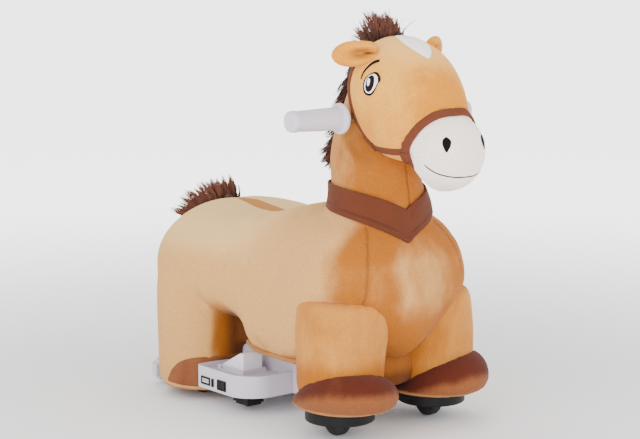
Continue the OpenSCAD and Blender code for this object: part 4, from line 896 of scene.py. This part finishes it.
# Nostrils and mouth: dark brown stitching on the muzzle, two teardrops and one long smile.
# The nostrils are pressed on from the front, and the mouth is one cord that tapers to its corners.
# Outline of a nostril in the Y and Z plane, and the mouth's line from its right corner to the middle
NOSTRIL = [(31, 419), (35.3, 415.6), (37.3, 410.2), (36.5, 404.2), (33.9, 399), (30.5, 403.6), (27.7, 408.6),
           (27.1, 414)]
MOUTH = [(287, -49.5, 384), (289.5, -47.5, 381), (293, -44.5, 377.5), (299, -37.5, 372.5), (305, -28, 369),
         (309.5, -16, 366.4), (311.6, 0, 365.6)]
stitch_brown = thread("stitch_brown", tint(14, 9, 10), tint(7, 4, 5))
for side, sign in SIDES:
    outline = disc(NOSTRIL, 0, sign)
    grid = stacked(BEFORE, sign * outline[..., 0], outline[..., 2])
    dress(press(flat(f"{side}_nostril", grid), muzzle, 0.5, 0.9, "x"), stitch_brown)


def cord(line, radius, count):
    """Circles of a radius square to a line of points."""
    run = unit(np.gradient(line, axis=0))
    side = unit(np.cross(run, (0.13, 0.29, 0.95)))
    over = np.cross(side, run)
    turn = around(count)[:, None]
    radius = np.broadcast_to(np.asarray(radius, float), len(line))[:, None, None]
    return line[:, None] + radius * (np.cos(turn) * side[:, None] + np.sin(turn) * over[:, None])


line = smooth(np.vstack([MOUTH, np.array(MOUTH)[-2::-1] * (1, -1, 1)]), 8)
count = np.arange(len(line))
taper = np.minimum(1, 0.35 + np.minimum(count, count[::-1]) / 12)
mouth = make("mouth_stitch", shell(cord(line, 0.9 * taper, 8)))
wrap = mouth.modifiers.new("wrap", "SHRINKWRAP")
wrap.target, wrap.wrap_mode, wrap.offset = muzzle, "OUTSIDE_SURFACE", 0.2 * MM
dress(bake(mouth), stitch_brown)

# Bridle: a brown webbing noseband over the seam of the muzzle and a narrower cheek strap on each side,
# which runs from behind the ear through a slider loop and is sewn to the noseband.
webbing = grained("bridle_webbing", 700, tint(86, 42, 24), tint(110, 56, 33), relief=0.0004, detail=1,
                  stretch=(1, 0.4, 1), roughness=0.85, specular_ior_level=0.25)
# Lines of the straps on the right side, and the middles that their widths turn round
NOSEBAND = [(288, 0, 449), (286.5, -14, 450), (281, -31, 446), (272, -46, 434), (265, -54, 421), (259, -56.5, 410),
            (256, -56.5, 399), (257, -53, 389), (261, -46, 380), (266, -34, 371), (269, -18, 365), (270, 0, 363)]
CHEEK = [(159, -36, 512), (156, -46, 503), (154, -53, 493), (153, -56, 478), (156, -59, 466), (162, -60, 447),
         (167, -58, 428), (173, -55, 411), (181, -50, 400.5), (197, -49, 396), (223, -55, 395.5), (247, -57, 396),
         (258, -57, 398)]
MUZZLE_MIDDLE, CHEEK_MIDDLE = (262, 0, 408), (0, 0, 430)
SLIDER = [(171, -54.5, 411), (175, -52, 405.5), (181, -50, 400.5), (189, -49.5, 398)]


def strap(name, line, width, onto, lift, thick, closed=False, axis="", ease=0):
    """A flat ribbon along a line, its width square to the line and to the way out from the head's middle."""
    line = smooth(np.vstack([line, line[:1]]) if closed else line, 5)
    line = line[:-1] if closed else line
    run = np.roll(line, -1, 0) - np.roll(line, 1, 0) if closed else np.gradient(line, axis=0)
    out = line * (0, 1, 1) - CHEEK_MIDDLE if axis else line - MUZZLE_MIDDLE
    side = unit(np.cross(run, out))
    grid = line[:, None] + side[:, None] * (width * np.linspace(-0.5, 0.5, 7))[:, None]
    if axis:
        grid[..., 1] *= 1.6
    return press(flat(name, grid, closed), onto, lift, thick, axis, ease)


def joined(*pieces):
    """One hidden mesh of several pieces, to lay straps on; taken away again after use."""
    shape = bmesh.new()
    for piece in pieces:
        shape.from_mesh(piece.data)
    mesh = bpy.data.meshes.new("form")
    shape.to_mesh(mesh)
    shape.free()
    return link("form", mesh)


form = joined(head, muzzle, body)
band = np.array(NOSEBAND, float)
band = np.vstack([band, band[-2:0:-1] * (1, -1, 1)]) + (3, 0, -2.5)
dress(strap("noseband_strap", band, 14, form, 3.2, 3, closed=True, ease=4), webbing, "noseband")
fine = smooth(np.vstack([band, band[:1]]), 5)
for side, sign in SIDES:
    line, slider = (np.array(way, float)[::-sign] * (1, -sign, 1) for way in (CHEEK, SLIDER))
    dress(strap(f"{side}_cheek_webbing", line, 9.5, form, 1.4, 2, axis="y"), webbing, f"{side}_cheek_strap")
    dress(strap(f"{side}_strap_slider", slider, 11, form, 3.8, 4.2, axis="y"), webbing)
    keeper = fine[(fine[:, 2] > 383) & (fine[:, 2] < 398) & (sign * fine[:, 1] > 0)]
    dress(strap(f"{side}_band_keeper", keeper, 15.5, form, 4.6, 3), webbing)
bpy.data.objects.remove(form)

# Neckerchief: a doubled band of brown plush round the root of the neck, with a point in front.
# It is stitched along both edges and ripples where it lies loose.
COLLAR_X = 134
# Its edges: height of the point, rise to the back, spread of the point in degrees
LOW_EDGE, HIGH_EDGE = (271, 52, 58), (317, 34, 45)
collar_look = Finish("collar_cloth", roughness=0.9, specular_ior_level=0.2, sheen_weight=0.05)
nap = collar_look.noise(34, detail=4, warp=0.6)
tuft = collar_look.noise(620, detail=2)
cloth_tone = collar_look.mix(nap * 0.7 + tuft * 0.3, tint(79, 38, 22), tint(100, 51, 30))
collar_look.paint(base_color=collar_look.mix(collar_look.mark("stitch") * 0.5, cloth_tone, tint(46, 20, 12)),
                  normal=collar_look.bump(tuft * 0.5 + nap * 0.5, 0.0008))


def edge_height(turn, point, low, rise, spread):
    """Height of an edge at an angle round the neck: lowest at its point, rising to both sides."""
    return low + rise * (1 - np.exp(-np.abs(np.degrees(turn) - point) / spread))


turn = np.linspace(-np.pi, np.pi, 180, endpoint=False)[:, None]
low_edge, high_edge = edge_height(turn, -9, *LOW_EDGE), edge_height(turn, -8, *HIGH_EDGE)
height = low_edge + np.linspace(0, 1, 15) * (high_edge - low_edge)
reach = np.interp(height, (262, 300, 340, 350), (112, 104, 96, 94))
grid = stacked(COLLAR_X + reach * np.cos(turn), reach * np.sin(turn), height)
collar = press(flat("neckerchief", grid[::-1], closed=True), body, 4, 3, "normal")
spots = points(collar)
angle = np.arctan2(spots[:, 1], spots[:, 0] - COLLAR_X)
ripple = 0.5 * np.sin(5 * angle + spots[:, 2] / 9) + 0.3 * np.sin(11 * angle - spots[:, 2] / 7)
move(collar, spots + stacked(np.cos(angle), np.sin(angle), 0) * ripple[:, None])
edge = collar.modifiers.new("edge", "BEVEL")
edge.width, edge.segments, edge.angle_limit = 0.9 * MM, 3, np.radians(50)
bake(collar)
spots = points(collar)
angle = np.arctan2(spots[:, 1], spots[:, 0] - COLLAR_X)
hem = np.minimum(spots[:, 2] - edge_height(angle, -8.5, *LOW_EDGE), edge_height(angle, -8.5, *HIGH_EDGE) - spots[:, 2])
mark(collar, "stitch", np.exp(-((hem - 4) / 0.9) ** 2))
dress(collar, collar_look, "neck_collar", fill=0.2)

# Toe caps and hem: brown plush faced onto the front of each rear leg, a tan hem under it,
# and a piping cord along the lower edge of the belly.
cap_hide, _ = plush("toe_plush", tint(134, 81, 50), tint(98, 46, 28))
piping_look, _ = plush("hem_plush", tint(176, 124, 68), tint(146, 94, 48), 0.6)
CAP_REACH, CAP_TOP, CAP_BASE = 73, 69, 21
BELLY_EDGE = [(-20, 106, 104), (-8, 110, 100), (15, 112, 97), (60, 112, 96), (110, 112, 96)]
turn = np.linspace(-np.radians(89), np.radians(89), 40)[:, None]
end = np.abs(turn / turn.max()) ** 5
top, base = CAP_TOP - 40 * end, CAP_BASE + 5 * end
height = base + np.linspace(0, 1, 12) * (top - base)
for side, sign in SIDES:
    grid = stacked(REAR_X + CAP_REACH * np.cos(turn), sign * SIDE_Y + CAP_REACH * np.sin(turn), height)
    cap = press(flat(f"{side}_toe_cap", grid[::-1]), body, 1.2, 2)
    mark(cap, "warm", 0.2)
    dress(cap, cap_hide, fill=0.3)
    piping = make(f"{side}_belly_piping", shell(cord(smooth(BELLY_EDGE, 8) * (1, sign, 1), 3.8, 14)))
    mark(piping, "warm", 0.5)
    dress(piping, piping_look, fill=0.6)

# Mane and tail: long dark brown hair fibre sewn in rows along the neck and in one tuft at the back.
# Strands lie in clumps over a hidden woven strip, and a few stray past the rest.
# Rows: place along X, height, half thickness, half width
MANE = [(178, 541, 5, 8), (164, 545, 13, 15), (149, 546, 20, 20), (131, 533, 22, 20), (114, 504, 18, 18),
        (101, 470, 17, 17), (88, 430, 17, 16), (69, 390, 18, 14), (62, 370, 13, 12), (64, 358, 7, 8)]
TAIL = [(-233, 292, 13, 14), (-258, 289, 19, 19), (-285, 270, 22, 21), (-306, 249, 18, 17)]
# Stray hairs of the forelock: where each ends
STRAYS = [(110, -4, 572), (216, 3, 567), (160, 2, 583), (201, -8, 554), (207, -12, 545), (100, -12, 543),
          (92, -14, 537), (183, 8, 566)]
MANE_LOCKS, TAIL_LOCKS, PER_LOCK = 440, 210, 12
hair = Finish("hair_fibre", roughness=0.55, specular_ior_level=0.35)
lock = hair.noise(120, detail=2)
fade = hair.step(hair.mark("tip") * 0.8 + lock * 0.5, 0.3, 1.15)
hair.paint(base_color=hair.mix(fade, tint(44, 21, 16), tint(112, 64, 46)), roughness=0.45 + 0.25 * lock)


def strands(start, tip, sag, radius, steps=6):
    """Tapered three-sided strands: straight from start to tip plus a parabola of that sag, s from root to tip."""
    s = np.linspace(0, 1, steps)[:, None]
    line = start[:, None] * (1 - s) + tip[:, None] * s + sag[:, None] * 4 * s * (1 - s)
    aim = unit(tip - start)
    side = unit(np.cross(aim, (0.3, 0.5, 0.81)))
    over = np.cross(side, aim)
    turn = around(3)[:, None]
    ring = np.cos(turn) * side[:, None] + np.sin(turn) * over[:, None]
    places = line[:, :, None] + (radius * (1 - 0.8 * s))[:, None] * ring[:, None]
    index = np.arange(places[..., 0].size).reshape(places.shape[:3])
    beside = np.roll(index, -1, 2)
    quads = np.stack([index[:, :-1], beside[:, :-1], beside[:, 1:], index[:, 1:]], -1).reshape(-1, 4)
    caps = np.concatenate([index[:, 0, ::-1], index[:, -1]])
    return (places.reshape(-1, 3), quads.tolist() + caps.tolist()), np.repeat(np.tile(s[:, 0], len(start)), 3)


def locks(root, tip, sag, spread, chance):
    """Strands in locks: each starts near its lock's root, and all of a lock draw together to its tip."""
    root, tip, sag = (np.repeat(v, PER_LOCK, 0) for v in (root, tip, sag))
    stray = chance.normal(0, 1, (3, *root.shape))
    ends = tip + 0.45 * spread * stray[1] + (tip - root) * chance.uniform(-0.22, 0.08, (len(root), 1))
    return strands(root + spread * stray[0], ends, sag + 0.6 * stray[2], 0.85)


def crest(rows, count, chance):
    """Random places along a path in the middle plane: the point, the way on, the way out and both half sizes."""
    table = smooth(rows, 12)
    on = unit(np.gradient(table[:, :2], axis=0))
    pick = chance.uniform(0, len(table) - 1.001, count)
    read = lambda column: np.interp(pick, np.arange(len(table)), column)
    place = stacked(read(table[:, 0]), 0, read(table[:, 1]))
    on = unit(stacked(read(on[:, 0]), 0, read(on[:, 1])))
    return place, on, stacked(on[:, 2], 0, -on[:, 0]), read(table[:, 2]), read(table[:, 3])


def strip(rows):
    """The woven strip under the hair: ellipses along the path in the middle plane."""
    rows, turn = smooth(rows, 4), around(20)
    on, across = unit(np.gradient(rows[:, :2], axis=0)), rows[:, 2:3] * np.cos(turn)
    return shell(stacked(rows[:, :1] - on[:, 1:] * across, rows[:, 3:] * np.sin(turn),
                         rows[:, 1:2] + on[:, :1] * across))


chance = np.random.default_rng(7)
place, on, out, thick, wide = crest(MANE, MANE_LOCKS, chance)
level = np.array((0, 1, 0))
side = np.sin(chance.uniform(-1.5, 1.5, MANE_LOCKS))
on_neck = ramp(-place[:, 2], -535, -480)
root = place - out * (thick * (0.6 + 0.3 * side ** 2) * (1 - 0.5 * on_neck))[:, None]
root += level * (wide * (0.9 + 0.6 * on_neck) * side)[:, None]
tip = place + out * (thick * (chance.uniform(0.6, 1.2, MANE_LOCKS) - 0.3 * on_neck))[:, None]
tip += on * (chance.normal(0, 4, MANE_LOCKS) + 36 * on_neck * ramp(place[:, 2], 352, 410))[:, None]
tip += (1 - on_neck)[:, None] * (-9, 0, 6)
tip += level * (wide * (0.8 + 1.2 * on_neck) * side + chance.normal(0, 3, MANE_LOCKS))[:, None]
hairs, shade = locks(root, tip, chance.normal(0, 2, (MANE_LOCKS, 3)), 2.2, chance)
ends = np.array(STRAYS, float)
loose, fade = strands(stacked(0.5 * ends[:, 0] + 75, 0.3 * ends[:, 1], 545), ends, np.tile((0, 0, 4), (len(ends), 1)),
                      0.75)
core = strip([(x, z, t * 0.55, w * (0.7 if z > 510 else 1.6)) for x, z, t, w in MANE])
mane = make("mane_hair", core, hairs, loose)
mark(mane, "tip", np.concatenate([np.full(len(core[0]), 0.3), shade, fade]))
dress(mane, hair, "mane")
# The tail's locks stand off the rump in a fan: upright in front, backwards and sideways behind
back, side = chance.uniform(0, 1, TAIL_LOCKS), chance.uniform(-1, 1, TAIL_LOCKS)
root = stacked(-214 - 50 * back, 20 * side, 281 - 40 * back ** 1.6)
aim = unit(stacked(-0.25 - 0.75 * back, side * (0.22 + 0.53 * back), 0.95 - 0.72 * back))
tip = root + aim * ((30 + 24 * back) * chance.uniform(0.75, 1.08, TAIL_LOCKS))[:, None]
tip += chance.normal(0, 2.5, (TAIL_LOCKS, 3))
hairs, shade = locks(root, tip, chance.normal(0, 2, (TAIL_LOCKS, 3)), 2.4, chance)
core = strip([(x + 22, z - 9, t * 0.45, w * 0.6) for x, z, t, w in TAIL])
tail = make("tail_hair", core, hairs)
mark(tail, "tip", np.concatenate([np.full(len(core[0]), 0.4), 0.3 + shade]))
dress(tail, hair, "tail")
